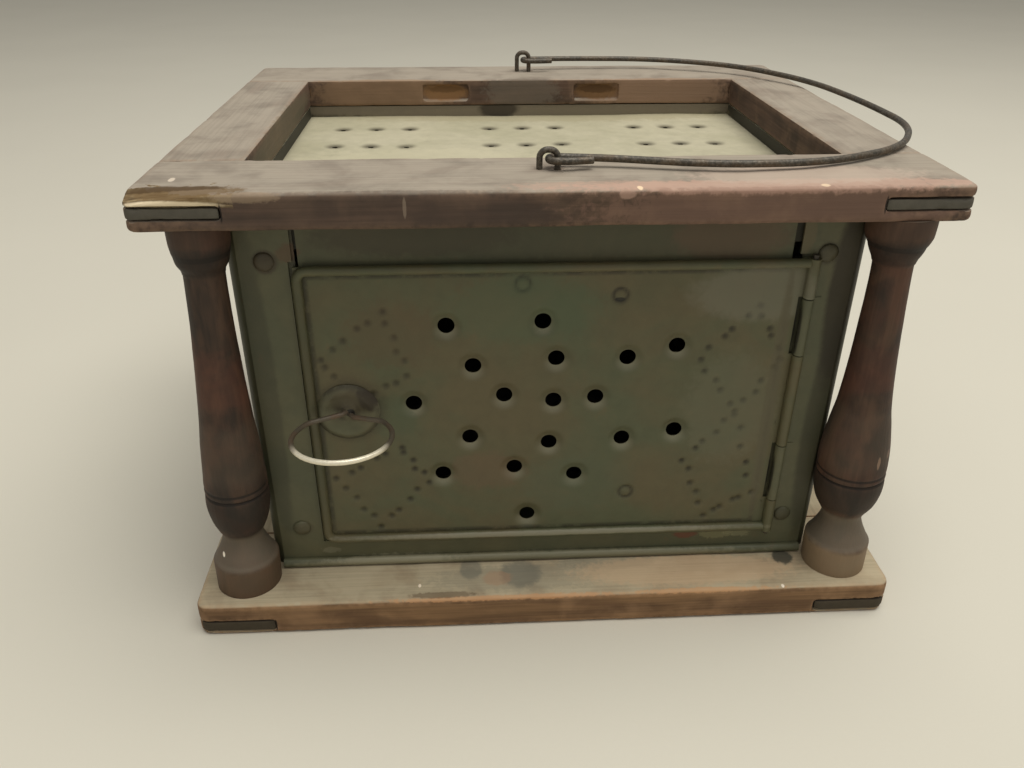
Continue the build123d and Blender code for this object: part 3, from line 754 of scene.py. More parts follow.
class WornEdges(Recipe):
    """Tree that wears a wooden rail: rounded and nicked edges, and a surface that is no longer flat."""

    full_wear: float = 0.30  # an edge that stands this proud of its blurred self is bare
    blurs: int = 5
    nick_scale: float = 170.0
    nick_band: Flat = (0.56, 0.72)  # values of the cloud between which nicks or hollows deepen
    hollow_scale: float = 38.0
    hollow_band: Flat = (0.35, 0.75)

    def __init__(self) -> None:
        """Make the tree."""
        super().__init__("worn_edges", ["Rounding", "Nicks", "Hollows", "Seed"], Object=["Original"])
        given = self.given
        original = self.add("GeometryNodeObjectInfo", {0: given["Original"]}, "Geometry")
        nearest = self.add("GeometryNodeProximity", {0: original}, "Position", target_element="FACES")
        true = self.add("GeometryNodeSetPosition", {0: given["Geometry"], "Position": nearest})
        place = self.place()
        blur = {0: place, "Iterations": self.blurs}
        calm = self.add("GeometryNodeBlurAttribute", blur, data_type="FLOAT_VECTOR")
        normal = self.add("GeometryNodeInputNormal")
        proud = self.vector("DOT_PRODUCT", self.vector("SUBTRACT", place, calm), normal, out=1)
        edge = self.most(proud, 0.0)
        nicked = self.step(self.cloud(self.nick_scale, detail=3.0, rough=0.6), *self.nick_band)
        nick = self.times(nicked, given["Nicks"])
        worn = self.times(edge, self.plus(given["Rounding"], nick))
        hollowed = self.step(self.cloud(self.hollow_scale, rough=0.6), *self.hollow_band)
        dip = self.times(hollowed, given["Hollows"])
        shaped = self.swollen(true, self.times(self.plus(worn, dip), -1.0))
        amount = self.maths("MULTIPLY", edge, 1 / (self.full_wear * MM), clamp=True)
        self.close(self.keep(shaped, "wear", amount))


class RivetHeads(Recipe):
    """Tree for hand-closed rivet heads, one on each point, each with its own size and turn."""

    turn: float = 0.09  # radians
    sizes: Flat = (0.9, 1.06)
    hammering: float = 0.35
    blow_scale: float = 420.0
    segments: int = 28

    def __init__(self) -> None:
        """Make the tree."""
        super().__init__("rivet_heads", ["Radius", "Dome"], Int=["Seed"])
        given = self.given
        round_shape = {"Segments": self.segments, "Rings": self.segments // 2, "Radius": 1.0}
        ball = self.add("GeometryNodeMeshUVSphere", round_shape)
        squash = self.add("ShaderNodeCombineXYZ", {0: given["Radius"], 1: given["Radius"], 2: given["Dome"]})
        head = self.add("GeometryNodeTransform", {0: ball, "Scale": squash})
        points = self.add("GeometryNodeMeshToPoints", {0: given["Geometry"]})
        turn = self.chance(-self.turn, self.turn)
        lean = self.add("ShaderNodeCombineXYZ", {0: turn, 1: turn})
        tilt = self.add("FunctionNodeEulerToRotation", {0: lean})
        placed = {0: points, "Instance": head, "Rotation": tilt, "Scale": self.chance(*self.sizes)}
        heads = self.add("GeometryNodeInstanceOnPoints", placed)
        real = self.add("GeometryNodeRealizeInstances", {0: heads})
        hammer = {"Vector": self.place(), "Scale": self.blow_scale, "Detail": 1.0}
        blows = self.add("ShaderNodeTexNoise", hammer)
        self.close(self.uneven(real, blows, self.hammering * MM))

    def chance(self, low: float, high: float) -> Any:
        """Random number for each head, between two others."""
        return self.add("FunctionNodeRandomValue", {2: low, 3: high, "Seed": self.given["Seed"]}, 1)


# ------------------------------------------------------------------ finishes


@dataclass(frozen=True)
class Patch:
    """A placed spot of another colour, such as a stain, a worn place, painted shade or a painted highlight.
    """

    centre: Point
    reach: Point
    colour: Colour
    strength: float = 0.8
    ragged: float = 0.5


def spotted(paint: Paint, tone: Any, patches: Sequence[Patch]) -> Any:
    """Lay placed patches over a colour.

    Args:
        paint: The material's tree.
        tone: The colour beneath.
        patches: The patches, the last on top.

    Returns:
        The colour's socket.
    """
    for patch in patches:
        share = paint.times(paint.near(patch.centre, patch.reach, patch.ragged), patch.strength)
        tone = paint.mix(share, tone, patch.colour)
    return tone


@dataclass(frozen=True)
class WoodFinish:
    """Old paint on wood, with fibres, worn edges and dust on what looks up."""

    name: str
    paint: Colour
    shade: Colour
    bare: Colour
    dust: Colour
    end: Colour = (86, 82, 72)
    dust_cover: float = 0.9
    wear: float = 0.5
    roughness: float = 0.78
    relief: float = 0.16
    streak: float = 0.36
    fibre: Flat = (46.0, 0.9)  # sizes of the patterns, along and across the fibres
    figure: Flat = (70.0, 6.5)
    blotch: float = 17.0
    speck: float = 2.6
    split: Point = (26.0, 1.3, 0.9)
    ragged: float = 1.6  # how far the edge of split wood wanders
    figure_band: Flat = (0.36, 0.66)  # values of a pattern between which it turns from one tone to another
    blotch_band: Flat = (0.45, 0.7)
    fibre_band: Flat = (0.3, 0.62)
    dust_band: Flat = (0.35, 0.85)

    def material(
        self,
        grain: Grain,
        patches: Sequence[Patch] = (),
        ends: Sequence[Block] = (),
        raw: Sequence[Block] = (),
    ) -> bpy.types.Material:
        """Make the material for one direction of the fibres.

        Args:
            grain: Where the fibres run.
            patches: Placed stains, worn places and painted shade.
            ends: Blocks that show dark end grain.
            raw: Blocks that show freshly split wood.

        Returns:
            The material.
        """
        paint = Paint(f"{self.name}_{grain.name.lower()}")
        fibre = paint.noise(grain.sizes(*self.fibre), detail=4.0, rough=0.6, bend=0.15)
        figure = paint.noise(grain.sizes(*self.figure), detail=3.0, rough=0.55, bend=0.8, shift=3.0)
        blotch = paint.noise(self.blotch, detail=4.0, rough=0.6, bend=0.3, shift=7.0)
        speck = paint.noise(self.speck, detail=3.0, rough=0.6, shift=11.0)
        tone = paint.mix(paint.step(figure, *self.figure_band), self.shade, self.paint)
        tone = paint.mix(paint.times(paint.step(blotch, *self.blotch_band), 0.35), tone, self.bare)
        lines = paint.scaled(paint.step(fibre, *self.fibre_band), self.streak, 0.84 - self.streak / 2)
        tone = self.dusted(paint, paint.darken(tone, lines), fibre, blotch)
        worn = paint.times(paint.kept("wear"), paint.step(speck, *self.fibre_band))
        tone = paint.mix(paint.times(worn, self.wear), tone, self.bare)
        for low, high in raw:
            layer = paint.noise(self.split, detail=4.0, rough=0.65, bend=0.3, shift=2.0)
            torn = paint.mix(paint.step(layer, 0.36, 0.6), RAW_DEEP, RAW_WOOD)
            tone = paint.mix(paint.within(low, high, self.ragged), tone, torn)
        tone = spotted(paint, tone, patches)
        for low, high in ends:
            tone = paint.mix(paint.within(low, high), tone, JOINT_LINE)
            pores = paint.darken(self.end, paint.scaled(speck, 0.5, 0.75))
            core = ((*low[:2], low[2] + JOINT_LINE_WIDTH), (*high[:2], high[2] - JOINT_LINE_WIDTH))
            tone = paint.mix(paint.within(*core), tone, pores)
        relief = paint.plus(paint.times(fibre, 0.7), paint.times(speck, 0.3))
        rough = paint.scaled(blotch, 0.2, self.roughness - 0.1)
        return paint.finish(tone, rough, relief, self.relief, specular=0.3)

    def dusted(self, paint: Paint, tone: Any, fibre: Any, blotch: Any) -> Any:
        """Lay dust on what looks up.

        Args:
            paint: The material's tree.
            tone: The colour beneath.
            fibre: Pattern of the fibres.
            blotch: Pattern that thins the dust.

        Returns:
            The colour's socket.
        """
        cover = paint.times(paint.step(paint.upward(), *self.dust_band), self.dust_cover)
        thin = paint.scaled(paint.step(blotch, 0.3, 0.6), 0.35, 0.65)
        deep = tuple(int(0.92 * c) for c in self.dust)
        dusty = paint.mix(paint.step(fibre, 0.25, 0.7), deep, self.dust)
        return paint.mix(paint.times(cover, thin), tone, dusty)


@dataclass(frozen=True)
class TinFinish:
    """Thin old paint on tinned sheet: cloudy, rubbed, freckled with rust and dark in its hollows, with a
    painted highlight on the lower slope of each crater.
    """

    name: str
    paint: Colour
    second: Colour
    rust: Colour
    # colour of the grime in hollows, also laid as painted shade along creases
    grime: Colour
    rust_cover: float = 0.25
    roughness: float = 0.5
    relief: float = 0.10
    # colour of the painted highlight on the lower slope of each crater
    dust: Colour = (138, 134, 112)
    beneath: Colour | None = None  # colour of what doesn't look up, where it differs: darker paint with painted shade
    cloud: float = 34.0  # sizes of the patterns
    fleck: float = 5.0
    grit: float = 0.7
    cloud_band: Flat = (0.34, 0.66)  # values of a pattern between which it turns from one tone to another
    rust_bands: tuple[Flat, Flat] = ((0.60, 0.74), (0.42, 0.6))  # of the flecks and the cloud
    caught_band: Flat = (0.3, 0.55)
    upward_band: Flat = (0.2, 0.6)
    dust_share: float = 0.7
    grime_share: float = 0.75

    def material(self, patches: Sequence[Patch] = ()) -> bpy.types.Material:
        """Make the material.

        Args:
            patches: Placed stains, rubbed places, painted shade and painted light.

        Returns:
            The material.
        """
        paint = Paint(self.name)
        cloud = paint.noise(self.cloud, detail=4.0, rough=0.6, bend=0.5)
        fleck = paint.noise(self.fleck, detail=4.0, rough=0.65, bend=0.2, shift=4.0)
        grit = paint.noise(self.grit, detail=2.0, rough=0.6, shift=9.0)
        tone = paint.mix(paint.step(cloud, *self.cloud_band), self.paint, self.second)
        tone = paint.darken(tone, paint.scaled(fleck, 0.36, 0.82))
        fine, broad = self.rust_bands
        freckle = paint.times(paint.step(fleck, *fine), paint.step(cloud, *broad))
        tone = paint.mix(paint.times(freckle, self.rust_cover), tone, self.rust)
        tone = paint.mix(paint.kept("sunk"), tone, self.grime)
        # painted highlight on the lower slope of each crater
        tone = paint.mix(paint.times(paint.kept("dust"), self.dust_share), tone, self.dust)
        # darker along the marked creases: grime and painted shade
        grime_and_shade_mask = paint.times(paint.kept("grime"), paint.step(fleck, *self.caught_band))
        tone = paint.mix(paint.times(grime_and_shade_mask, self.grime_share), tone, self.grime)
        # painted shade: what doesn't look up is darker
        if self.beneath:
            tone = paint.mix(paint.step(paint.upward(), *self.upward_band), self.beneath, tone)
        tone = spotted(paint, tone, patches)
        relief = paint.plus(paint.times(fleck, 0.75), paint.times(grit, 0.25))
        rough = paint.scaled(cloud, 0.22, self.roughness - 0.1)
        return paint.finish(tone, rough, relief, self.relief, specular=0.4)


@dataclass(frozen=True)
class IronFinish:
    """Drawn iron wire: dark and pitted, with brown rust and some brighter rubbed places; a given place is
    rubbed metal with a painted highlight.
    """

    name: str
    dark: Colour
    rust: Colour
    bright: Colour
    polish: float = 0.3
    roughness: float = 0.5
    rubbed: tuple[Point, Point] | None = None  # middle and reach of a place that hands have rubbed, also painted brighter as a highlight
    cloud: float = 6.0  # sizes of the patterns
    pit: float = 0.8
    rust_band: Flat = (0.4, 0.68)  # values of a pattern between which it turns from one tone to another
    shine_band: Flat = (0.45, 0.62)

    def material(self) -> bpy.types.Material:
        """Make the material.

        Returns:
            The material.
        """
        paint = Paint(self.name)
        cloud = paint.noise(self.cloud, detail=4.0, rough=0.65, bend=0.3)
        pit = paint.noise(self.pit, detail=3.0, rough=0.7, shift=5.0)
        tone = paint.mix(paint.step(cloud, *self.rust_band), self.dark, self.rust)
        shine = paint.times(paint.step(pit, *self.shine_band), self.polish)
        # a given place is rubbed metal that also carries a painted highlight
        if self.rubbed:
            shine = paint.most(shine, paint.near(*self.rubbed, ragged=0.15))
        tone = paint.mix(shine, tone, paint.darken(self.bright, paint.scaled(pit, 0.3, 0.85)))
        rough = paint.scaled(shine, -0.18, self.roughness)
        return paint.finish(tone, rough, pit, depth=0.08, metallic=0.3)


@dataclass(frozen=True)
class FloorFinish:
    """Plain pale cloth under the object."""

    colour: Colour = (214, 209, 193)
    cloud: float = 160.0
    weave: float = 1.2

    def material(self) -> bpy.types.Material:
        """Make the material.

        Returns:
            The material.
        """
        paint = Paint("pale_floor")
        soft = paint.noise(self.cloud, detail=2.0, rough=0.5)
        weave = paint.noise(self.weave, detail=2.0, rough=0.6)
        tone = paint.darken(self.colour, paint.scaled(soft, 0.06, 0.97))
        return paint.finish(tone, roughness=0.95, height=weave, depth=0.05, specular=0.1)


TOP_WOOD = WoodFinish(
    "top_wood", (104, 82, 68), (74, 60, 50), (150, 122, 98), (170, 159, 142), streak=0.24, figure=(60.0, 9.0)
)
BASE_WOOD = WoodFinish(
    "base_wood", (144, 111, 77), (110, 83, 58), (180, 143, 106), (194, 181, 151), (68, 60, 46), streak=0.22
)
POST_WOOD = WoodFinish(
    "post_wood", (86, 65, 50), (54, 44, 36), (112, 72, 56), (112, 102, 88),
    dust_cover=0.75, roughness=0.62, streak=0.14, figure=(24.0, 9.0),
)
TIN_WALL = TinFinish("tin_wall", (94, 91, 66), (84, 86, 64), (104, 74, 52), (42, 40, 28))
TIN_DOOR = TinFinish("tin_door", (93, 85, 59), (84, 87, 62), (104, 80, 54), (36, 32, 21))
TIN_TOP = TinFinish(
    "tin_top", (186, 179, 152), (174, 168, 140), (146, 130, 98), (86, 80, 62),
    roughness=0.62, dust=(180, 172, 146), beneath=(48, 46, 34),
)
LATCH_TIN = TinFinish("latch_tin", (94, 90, 66), (90, 94, 72), (86, 62, 48), (40, 34, 24), rust_cover=0.5)
PAN_TIN = TinFinish("pan_tin", (70, 64, 56), (54, 49, 43), (96, 66, 44), (26, 24, 22), rust_cover=0.7)
DARK_IRON = IronFinish("dark_iron", (60, 56, 48), (86, 70, 52), (130, 124, 110))
BAIL_IRON = IronFinish("bail_iron", (66, 61, 52), (90, 76, 58), (142, 134, 118))
# the ring's bright colour, laid on its front, is rubbed metal with a painted highlight
RING_IRON = IronFinish("ring_wire", (92, 84, 70), (100, 82, 64), (238, 229, 204), polish=0.0)
TOP_PATCHES = (
    Patch((62, -93, 148.5), (62, 5, 2.6), (196, 158, 138), 0.6, 0.7),
    Patch((12, -92, 148.5), (26, 4, 2.6), (190, 156, 136), 0.4, 0.7),
    Patch((70, -84, 148.5), (34, 9, 3), (190, 170, 152), 0.6, 0.5),
    Patch((-50, -96, 142), (52, 2.5, 8), (76, 64, 56), 0.5, 0.4),
    Patch((60, -96, 142), (55, 2.5, 8), (136, 106, 90), 0.45, 0.6),
    Patch((-82, -96.4, 147.6), (9, 2.2, 1.8), (150, 130, 106), 0.6, 0.6),
    Patch((-98, -92.6, 147.4), (17, 4.0, 2.0), (112, 88, 54), 0.75, 0.6),
    Patch((-101, -90.4, 147.6), (15, 2.2, 1.8), (80, 60, 34), 0.85, 0.4),
    Patch((-101.5, -95.9, 145.4), (13.5, 1.8, 1.2), (230, 212, 178), 0.9, 0.15),
    Patch((-41, -96.6, 144.0), (0.5, 1.2, 3.0), (150, 134, 116), 0.5, 0.2),
    Patch((-104.5, -82, 148.3), (0.9, 1.8, 1.2), (228, 212, 190), 0.7, 0.3),
    Patch((21.5, -94.6, 148.3), (0.8, 1.4, 1.0), (250, 222, 184), 0.8, 0.2),
    Patch((72, -94.0, 148.3), (1.3, 1.2, 1.0), (240, 214, 178), 0.7, 0.3),
    Patch((18, -96.2, 147.0), (2.4, 1.2, 1.4), (190, 156, 136), 0.5, 0.5),
    Patch((-88.9, -96.5, 143.1), (0.4, 1.6, 2.6), (34, 28, 22), 0.9, 0.1),
    Patch((88.9, -96.5, 143.1), (0.4, 1.6, 2.6), (34, 28, 22), 0.9, 0.1),
    Patch((-89, 0, 143), (2.5, 62, 5.4), (106, 102, 80), 0.5, 0.3),
    Patch((0, 62, 143), (16, 3, 8), (108, 98, 86), 0.7, 0.6),
    Patch((-58, 62, 143), (32, 3, 8), (148, 120, 92), 0.6, 0.5),
    Patch((58, 62, 143), (32, 3, 8), (150, 122, 98), 0.75, 0.5),
    Patch((-32.3, 63.4, 143), (10.0, 1.8, 3.8), (146, 110, 72), 0.85, 0.35),
    Patch((31.8, 63.4, 143), (10.0, 1.8, 3.8), (128, 96, 62), 0.85, 0.35),
    # painted shade in the upper halves of the two mortises
    Patch((-32.3, 63.4, 144.3), (8.0, 1.8, 1.5), (108, 80, 50), 0.75, 0.5),
    Patch((31.8, 63.4, 144.1), (8.5, 1.8, 1.8), (88, 64, 40), 0.8, 0.5),
)
BASE_PATCHES = (
    Patch((-10, -93, 12.3), (30, 7, 2.5), (146, 140, 120), 0.4, 0.7),
    Patch((-26, -88, 12.3), (4.2, 5.5, 2), (96, 100, 92), 0.5, 0.3),
    Patch((-9, -91, 12.3), (7.5, 7, 2), (92, 97, 90), 0.5, 0.3),
    Patch((-17, -93, 12.3), (5, 4, 2), (178, 136, 104), 0.4, 0.5),
    Patch((22, -86, 12.3), (18, 5, 2), (122, 120, 104), 0.5, 0.4),
    Patch((48, -92, 12.3), (40, 8, 2.0), (206, 176, 140), 0.6, 0.4),
    Patch((84, -87, 12.3), (3.8, 3.8, 2.0), (58, 60, 52), 0.85, 0.35),
    Patch((-14, -102.4, 12.3), (44, 1.2, 1.2), (200, 150, 104), 0.65, 0.8),
    Patch((-36, -100.4, 12.4), (12, 1.5, 1.2), (96, 76, 52), 0.6, 0.6),
    Patch((54, -102.2, 12.3), (26, 1.3, 1.2), (200, 152, 106), 0.65, 0.8),
    Patch((-43.4, -95.6, 12.4), (0.5, 0.9, 1), (255, 238, 212), 0.9, 0.1),
    Patch((79.6, -101.4, 12.4), (0.6, 0.9, 1), (255, 242, 220), 0.9, 0.1),
    Patch((-91.2, -102.8, 3.6), (0.4, 1.6, 2.6), (34, 28, 22), 0.9, 0.1),
    Patch((91.2, -102.8, 3.6), (0.4, 1.6, 2.6), (34, 28, 22), 0.9, 0.1),
)
POST_PATCHES = (
    # painted shade on the underside of the bulbs
    Patch((0, 0, 43.5), (300, 300, 7.0), (38, 32, 25), 0.65, 0.12),
    Patch((0, 0, 66), (300, 300, 12), (104, 92, 76), 0.2, 0.3),
    Patch((-95, 0, 28.5), (60, 300, 6.5), (116, 106, 90), 0.6, 0.1),
    Patch((95, 0, 29.0), (60, 300, 7.0), (116, 107, 91), 0.65, 0.1),
    Patch((-95, 0, 17), (60, 300, 6.5), (112, 92, 70), 0.5, 0.2),
    Patch((95, 0, 17), (60, 300, 6.5), (156, 135, 106), 0.6, 0.2),
    # painted shade in the two grooves and under the caps
    Patch((0, 0, 49.8), (300, 300, 0.55), (24, 20, 16), 0.7, 0.05),
    Patch((0, 0, 52.2), (300, 300, 0.55), (24, 20, 16), 0.7, 0.05),
    Patch((0, 0, 127.5), (300, 300, 4.5), (32, 25, 20), 0.6, 0.1),
    Patch((0, 0, 129.4), (300, 300, 1.0), (22, 17, 13), 0.6, 0.1),
    Patch((0, 0, 135.5), (300, 300, 3.5), (98, 70, 53), 0.25, 0.3),
    Patch((0, -90, 90), (300, 12, 9), (98, 60, 46), 0.3, 0.6),
    Patch((-106.6, -95, 27.6), (0.5, 3, 0.8), (255, 244, 224), 0.95, 0.1),
    Patch((104.2, -97.5, 59.0), (0.6, 4, 2.4), (156, 128, 106), 0.6, 0.4),
    Patch((108.0, -95.0, 61.0), (0.7, 4, 1.6), (140, 112, 94), 0.5, 0.4),
)
WALL_PATCHES = (
    # painted shade on the header under the top frame
    Patch((0, -82, 130), (78, 4, 6.5), (66, 62, 44), 0.5, 0.3),
    Patch((-40, -82, 131), (30, 4, 6), (64, 56, 42), 0.45, 0.4),
    Patch((-76, -82, 127), (3, 4, 3.2), (92, 68, 48), 0.6, 0.7),
    Patch((52, -82, 130), (18, 4, 8), (104, 78, 60), 0.45, 0.3),
    Patch((74.5, -82, 130), (2.6, 4, 6), (104, 92, 66), 0.6, 0.3),
    Patch((49.5, -83, 20.2), (4.2, 3, 1.7), (112, 66, 50), 0.75, 0.4),
    Patch((60.5, -83, 20.2), (6, 3, 2.2), (134, 132, 96), 0.5, 0.9),
    Patch((68, -83, 20.4), (5, 3, 1.8), (138, 136, 104), 0.5, 0.9),
    Patch((-74, -83, 18.4), (3.4, 4, 1.3), (130, 126, 102), 0.5, 0.8),
    Patch((-8, -86, 14.0), (84, 4, 2.4), (140, 134, 108), 0.5, 0.35),
    Patch((-52, -86, 14.6), (24, 4, 2.2), (156, 150, 124), 0.45, 0.6),
    # painted shade along the front's left edge
    Patch((-88, -83, 80), (4, 4, 60), (46, 44, 32), 0.4, 0.12),
    # painted shadow along the front's right edge, by the post
    Patch((89, -83, 112), (5.5, 4, 34), (40, 31, 18), 0.8, 0.12),
    Patch((89, -83, 62), (5, 4, 44), (44, 40, 28), 0.55, 0.12),
    Patch((-82.6, -83, 124.2), (3.8, 4, 3.8), (60, 48, 34), 0.75, 0.15),
    Patch((81.8, -83, 124.2), (3.8, 4, 3.8), (56, 50, 36), 0.6, 0.15),
    Patch((-82.3, -83, 28.2), (3.4, 4, 3.0), (74, 64, 46), 0.45, 0.3),
    Patch((82.3, -83, 28.2), (3.4, 4, 3.0), (58, 52, 36), 0.55, 0.3),
    # painted shade in the two hinge slots
    Patch((75.2, -85, 99.5), (1.1, 4, 11), (22, 20, 13), 0.85, 0.1),
    Patch((75.2, -85, 45.5), (1.0, 4, 10.5), (22, 20, 13), 0.85, 0.1),
)
DOOR_PATCHES = (
    Patch((64, -84, 112), (24, 3, 10), (116, 112, 94), 0.6, 0.2),
    Patch((58, -84, 72), (16, 3, 22), (104, 102, 80), 0.4, 0.4),
    Patch((-8, -84, 108), (26, 3, 12), (80, 92, 66), 0.5, 0.4),
    Patch((-48, -84, 100), (16, 3, 12), (92, 76, 52), 0.4, 0.5),
    Patch((-20, -84, 50), (14, 3, 8), (108, 82, 62), 0.35, 0.5),
    Patch((10, -84, 44), (20, 3, 12), (84, 90, 68), 0.35, 0.5),
    Patch((-50, -84, 72), (9, 3, 9), (78, 86, 62), 0.5, 0.4),
    # painted shade in the cut below a struck ring
    Patch((20.6, -84, 110.6), (2.0, 3, 0.9), (16, 14, 9), 0.85, 0.1),
    Patch((71.6, -84, 72), (2.2, 3, 52), (90, 84, 62), 0.8, 0.2),
    # painted shade along the left bead
    Patch((-74.4, -84, 76), (2.4, 3, 50), (60, 60, 40), 0.5, 0.15),
    Patch((0, -86.2, 25.0), (84, 2.2, 1.5), (142, 136, 114), 0.65, 0.2),
    # grime and painted shade round the escutcheon
    Patch((-62.3, -84, 74.7), (12.0, 3, 12.0), (52, 46, 31), 0.6, 0.15),
)
LATCH_LIGHT_AND_SHADE = (  # painted shade on the dish's upper half, its upper right rim and its hub, and painted light on its lower half; centres are measured from the latch's middle
    Patch((2, 0, 4), (8, 4, 4.5), (64, 52, 36), 0.5, 0.5),
    Patch((6.5, 0, 6.0), (3.4, 4, 5.5), (46, 38, 28), 0.7, 0.4),
    Patch((-1, 0, -5.5), (6, 4, 2.6), (92, 93, 68), 0.5, 0.4),
    Patch((0.7, 0, 0.2), (1.5, 4, 1.4), (18, 15, 11), 0.95, 0.2),
)
LID_PATCHES = (
    Patch((-40, -20, 133), (50, 30, 4), (196, 188, 158), 0.5),
    Patch((10, 62, 133), (90, 12, 4), (160, 150, 118), 0.5),
    Patch((0, 62.4, 136.2), (130, 1.4, 3.0), (120, 110, 92), 0.9, 0.2),
    Patch((-10, 62.4, 136.2), (8.5, 1.6, 4.0), (58, 50, 38), 0.9, 0.15),
)


# ------------------------------------------------------------------ making and dressing pieces


def piece(name: str, mesh: bpy.types.Mesh, body: str, replaced: Sequence[str]) -> None:
    """Make a mesh a piece of the object.

    Args:
        name: The piece's name.
        mesh: Its finished mesh, in place.
        body: The body that it moves with.
        replaced: Nodes that it stands for.
    """
    thing = linked(name, mesh)
    mesh.name = name
    mesh.set_sharp_from_angle(angle=SHARP)
    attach(thing, body)
    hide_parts(*replaced)
    log.info("%s: %d faces, on %s", name, len(mesh.polygons), body)


def dress(nodes: Sequence[str], material: bpy.types.Material) -> None:
    """Give nodes that stay as they are their finish.

    Args:
        nodes: Names of the nodes.
        material: Their finish.
    """
    for name in nodes:
        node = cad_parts[name]
        node.data.materials.clear()
        node.data.materials.append(material)
        log.info("%s: dressed in %s", name, material.name)


@dataclass
class Workshop:
    """The trees that the sub-assemblies share."""

    punch: PunchedSheet = field(default_factory=PunchedSheet)
    wire: Recipe = field(default_factory=BentWire)
    turned: Recipe = field(default_factory=TurnedPost)
    wear: Recipe = field(default_factory=WornEdges)
    rivets: Recipe = field(default_factory=RivetHeads)
    wire_piece: float = 1.2  # length of a wire's faces

    def worn_copy(
        self,
        node: str,
        voxel: float,
        values: Mapping[str, Any],
        moved: Callable[[Vector], Vector],
    ) -> bpy.types.Mesh:
        """Copy of a node with even faces and worn edges.

        Args:
            node: The node to copy.
            voxel: Size of the copy's faces.
            values: Inputs of the wear tree.
            moved: Gives the new place of a point of the node, in millimetres.

        Returns:
            The worn mesh.
        """
        shape = bmesh.new()
        shape.from_mesh(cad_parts[node].data)
        bmesh.ops.remove_doubles(shape, verts=shape.verts, dist=MERGE * MM)
        for vertex in shape.verts:
            vertex.co = moved(vertex.co / MM) * MM
        block = plain(shape)
        original, host = linked("block", block), linked("even", block)
        remesh = host.modifiers.new("even", "REMESH")
        remesh.mode = "VOXEL"
        remesh.voxel_size = voxel * MM
        worn = self.wear.run(finished(host), {**values, "Original": original})
        bpy.data.objects.remove(original)
        return worn

    def rod(
        self,
        points: Sequence[Point],
        radius: float,
        material: bpy.types.Material,
        bend: float = 0.0,
        uneven: float = 0.0,
        seed: float = 1.0,
    ) -> bpy.types.Mesh:
        """Bent wire or rolled edge.

        Args:
            points: Its line.
            radius: Its radius.
            material: Its finish.
            bend: Radius of its corners.
            uneven: How far its surface wanders.
            seed: Moves the pattern of its surface.

        Returns:
            The mesh, in metres.
        """
        sizes = {"Radius": radius, "Bend": bend, "Uneven": uneven, "Piece": self.wire_piece}
        values = {name: size * MM for name, size in sizes.items()}
        return self.wire.run(line(points), {**values, "Seed": seed, "Material": material})


@dataclass
class WoodenFrame:
    """One of the two wooden frames, with its four worn rails."""

    level: str
    finish: WoodFinish
    slot: str
    tongue: float  # height of the corner joints' tongues
    patches: tuple[Patch, ...] = ()
    tongue_drop: float = 0.0  # how far the tongues lie below the middle of the rails
    voxel: float = 0.7
    rounding: float = 0.35
    nicks: float = 0.9
    hollows: float = 0.3
    ease: float = 1.4  # depth below the top face that stays as it is
    foot_ease: float = 0.9
    past: float = 1.0  # how far the marked blocks reach out of the wood
    end_depth: float = 1.4
    broken_run: float = 0.0  # broken corner at the front left, along the front
    broken_depth: float = 10.5
    broken_top: float = 0.35
    broken_overlap: float = 0.3  # how far the broken wood reaches down past the tongue's top
    slack: float = 0.02  # the joints start this much early
    first_seed: float = 3.1
    seed_step: float = 2.7

    def lowering(self) -> Callable[[Vector], Vector]:
        """Rule that lowers the tongues and their slots inside the four corner joints.

        Returns:
            The rule, which gives the new place of a point in millimetres.
        """
        low, high = corners(f"{self.level}_front_rail")
        inner_x, inner_y = abs(corners(f"{self.level}_left_rail")[1].x) - self.slack, abs(high.y) - self.slack
        middle, half = (low.z + high.z) / 2, self.tongue / 2
        knots = [(low.z, 0.0), (low.z + self.foot_ease, 0.0), (middle - half, self.tongue_drop)]
        knots += [(middle + half, self.tongue_drop), (high.z - self.ease, 0.0), (high.z, 0.0)]

        def lowered(place: Vector) -> Vector:
            """Lower a point of a rail where it lies inside a corner joint.

            Args:
                place: The point.

            Returns:
                Its new place.
            """
            if abs(place.x) < inner_x or abs(place.y) < inner_y:
                return place
            for (start, first), (stop, last) in zip(knots, knots[1:]):
                if start <= place.z <= stop:
                    share = (place.z - start) / (stop - start)
                    return Vector((place.x, place.y, place.z - first - (last - first) * share))
            return place

        return lowered

    def build(self, shop: Workshop) -> None:
        """Make the four rails and dress them.

        Args:
            shop: The shared trees.
        """
        low, high = corners(f"{self.level}_front_rail")
        middle = (low.z + high.z) / 2 - self.tongue_drop
        lower, upper = middle - self.tongue / 2, middle + self.tongue / 2
        near = (low.x - self.past, low.y - self.past)
        ends = [((*near, lower), (high.x + self.past, low.y + self.end_depth, upper))]
        ends += [((a[0], -b[1], a[2]), (b[0], -a[1], b[2])) for a, b in ends]
        raw = []
        if self.broken_run:
            far = (low.x + self.broken_run, low.y + self.broken_depth, high.z - self.broken_top)
            raw.append(((*near, upper - self.broken_overlap), far))
        across = self.finish.material(Grain.ACROSS, self.patches, raw=raw)
        deep = self.finish.material(Grain.DEEP, self.patches, ends)
        sides = {"front": across, "rear": across, "left": deep, "right": deep}
        for index, (side, finish) in enumerate(sides.items()):
            node = f"{self.level}_{side}_rail"
            values = {
                "Rounding": self.rounding,
                "Nicks": self.nicks,
                "Hollows": self.hollows * MM,
                "Seed": self.first_seed + self.seed_step * index,
                "Material": finish,
            }
            mesh = shop.worn_copy(node, self.voxel, values, self.lowering())
            piece(f"{node}_worn", mesh, "root", [node])


